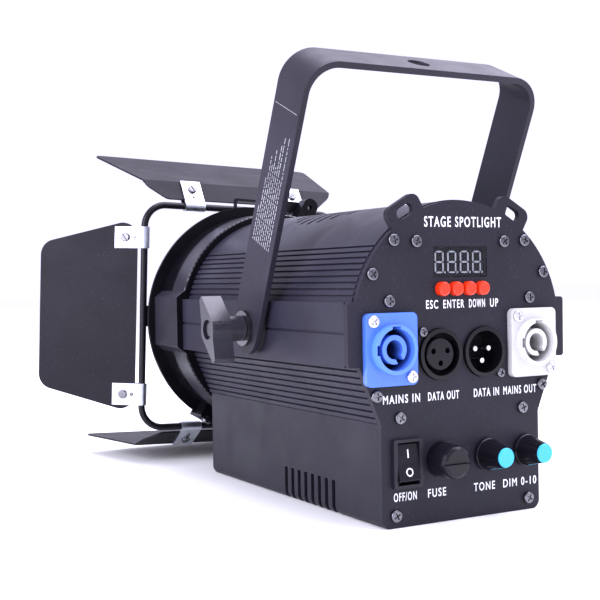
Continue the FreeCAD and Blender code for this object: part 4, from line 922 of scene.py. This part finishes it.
# ---------------------------------------------------------------- stage
class SPOTLIGHT_OT_stage(bpy.types.Operator):
    """Lay the pale floor, set the soft studio light and place the camera"""

    bl_idname = "spotlight.stage"
    bl_label = "Stage"

    def execute(self, context):
        self.floor()
        self.world()
        self.softbox("Top softbox", (0.45, 0.0, 1.25), (0, 0.05, 0.1), 1.6, 42)
        self.softbox("Left softbox", (-1.25, -0.2, 0.55), (0, 0, 0.08), 1.0, 21)
        self.camera()
        bpy.context.scene.view_settings.view_transform = "Standard"
        return {"FINISHED"}

    def floor(self):
        deselect()
        bpy.ops.mesh.primitive_plane_add(size=sizes().floor)
        floor = bpy.context.object
        floor.name = "studio_floor"
        nodes, links, (grain,) = fresh("floor paper", ("Paper",))
        place = nodes.new("ShaderNodeTexCoord")
        place.label, place.location = "Place on the floor", (-700, 0)
        fibre = nodes.new("ShaderNodeTexNoise")
        fibre.label, fibre.location, fibre.parent = "Paper tone", (-500, 0), grain
        fibre.inputs["Scale"].default_value = 3
        tone = nodes.new("ShaderNodeValToRGB")
        tone.label, tone.location, tone.parent = "White to off-white", (-280, 0), grain
        tone.color_ramp.elements[0].color = (0.93, 0.95, 0.90, 1)
        tone.color_ramp.elements[1].color = (0.97, 0.99, 0.93, 1)
        shader = nodes.new("ShaderNodeBsdfPrincipled")
        shader.label, shader.location = "Paper", (20, 0)
        shader.inputs["Roughness"].default_value = 0.9
        output = nodes.new("ShaderNodeOutputMaterial")
        output.label, output.location = "Surface", (320, 0)
        links.new(place.outputs["Object"], fibre.inputs["Vector"])
        links.new(fibre.outputs["Fac"], tone.inputs["Fac"])
        links.new(tone.outputs["Color"], shader.inputs["Base Color"])
        links.new(shader.outputs["BSDF"], output.inputs["Surface"])
        floor.data.materials.append(finish("floor paper"))

    def world(self):
        world = bpy.data.worlds.new("Studio")
        world.use_nodes = True
        background = world.node_tree.nodes["Background"]
        background.inputs["Color"].default_value = (0.81, 0.79, 1.0, 1)
        background.inputs["Strength"].default_value = 1.27
        bpy.context.scene.world = world

    def softbox(self, name, place, target, size, power):
        light = bpy.data.lights.new(name, "AREA")
        light.size = size
        light.color = (0.86, 0.83, 1.0)
        light.energy = power
        lamp = bpy.data.objects.new(name, light)
        bpy.context.scene.collection.objects.link(lamp)
        lamp.location = place
        lamp.rotation_euler = (Vector(target) - Vector(place)).to_track_quat("-Z", "Y").to_euler()

    def camera(self):
        """Behind and to the left of the lamp, at the height of the tube's top."""
        stand = Vector((-0.3029, -0.4800, 0.1075))
        yaw, pitch, roll = (math.radians(a) for a in (29.28, -1.12, -0.97))
        ahead = Vector((math.sin(yaw) * math.cos(pitch), math.cos(yaw) * math.cos(pitch), math.sin(pitch)))
        flat_right = Vector((math.cos(yaw), -math.sin(yaw), 0))
        flat_up = flat_right.cross(ahead)
        right = flat_right * math.cos(roll) + flat_up * math.sin(roll)
        up = right.cross(ahead)
        data = bpy.data.cameras.new("Camera")
        data.lens = 67.1
        data.sensor_width = 36
        data.clip_start = 0.01
        camera = bpy.data.objects.new("Camera", data)
        bpy.context.scene.collection.objects.link(camera)
        camera.matrix_world = Matrix((
            (right.x, up.x, -ahead.x, stand.x),
            (right.y, up.y, -ahead.y, stand.y),
            (right.z, up.z, -ahead.z, stand.z),
            (0, 0, 0, 1)))
        bpy.context.scene.camera = camera


# ---------------------------------------------------------------- panel and registration
STEPS = (
    SPOTLIGHT_OT_finishes, SPOTLIGHT_OT_stage, SPOTLIGHT_OT_housing, SPOTLIGHT_OT_yoke,
    SPOTLIGHT_OT_barn_doors, SPOTLIGHT_OT_controls, SPOTLIGHT_OT_sockets, SPOTLIGHT_OT_fasteners,
    SPOTLIGHT_OT_inner_parts, SPOTLIGHT_OT_panel_print, SPOTLIGHT_OT_rocker_marks,
    SPOTLIGHT_OT_yoke_print, SPOTLIGHT_OT_display, SPOTLIGHT_OT_light_source,
)


class SPOTLIGHT_PT_panel(bpy.types.Panel):
    """Lists the lamp's settings and the steps that build its looks"""

    bl_label = "Stage spotlight"
    bl_idname = "SPOTLIGHT_PT_panel"
    bl_space_type = "VIEW_3D"
    bl_region_type = "UI"
    bl_category = "Spotlight"

    def draw(self, context):
        for settings in (context.scene.spotlight_sizes, context.scene.spotlight_colours):
            column = self.layout.column(align=True)
            for name in settings.__annotations__:
                column.prop(settings, name)
        for step in STEPS:
            self.layout.operator(step.bl_idname)


CLASSES = (SpotlightSizes, SpotlightColours) + STEPS + (SPOTLIGHT_PT_panel,)


def register():
    for item in CLASSES:
        bpy.utils.register_class(item)
    bpy.types.Scene.spotlight_sizes = bpy.props.PointerProperty(type=SpotlightSizes)
    bpy.types.Scene.spotlight_colours = bpy.props.PointerProperty(type=SpotlightColours)


def unregister():
    del bpy.types.Scene.spotlight_colours
    del bpy.types.Scene.spotlight_sizes
    for item in reversed(CLASSES):
        bpy.utils.unregister_class(item)


def main():
    register()
    bpy.ops.spotlight.finishes()
    bpy.ops.spotlight.stage()
    bpy.ops.spotlight.housing()
    bpy.ops.spotlight.yoke()
    bpy.ops.spotlight.barn_doors()
    bpy.ops.spotlight.controls()
    bpy.ops.spotlight.sockets()
    bpy.ops.spotlight.fasteners()
    bpy.ops.spotlight.inner_parts()
    bpy.ops.spotlight.panel_print()
    bpy.ops.spotlight.rocker_marks()
    bpy.ops.spotlight.yoke_print()
    bpy.ops.spotlight.display()
    bpy.ops.spotlight.light_source()


if __name__ == "__main__":
    main()
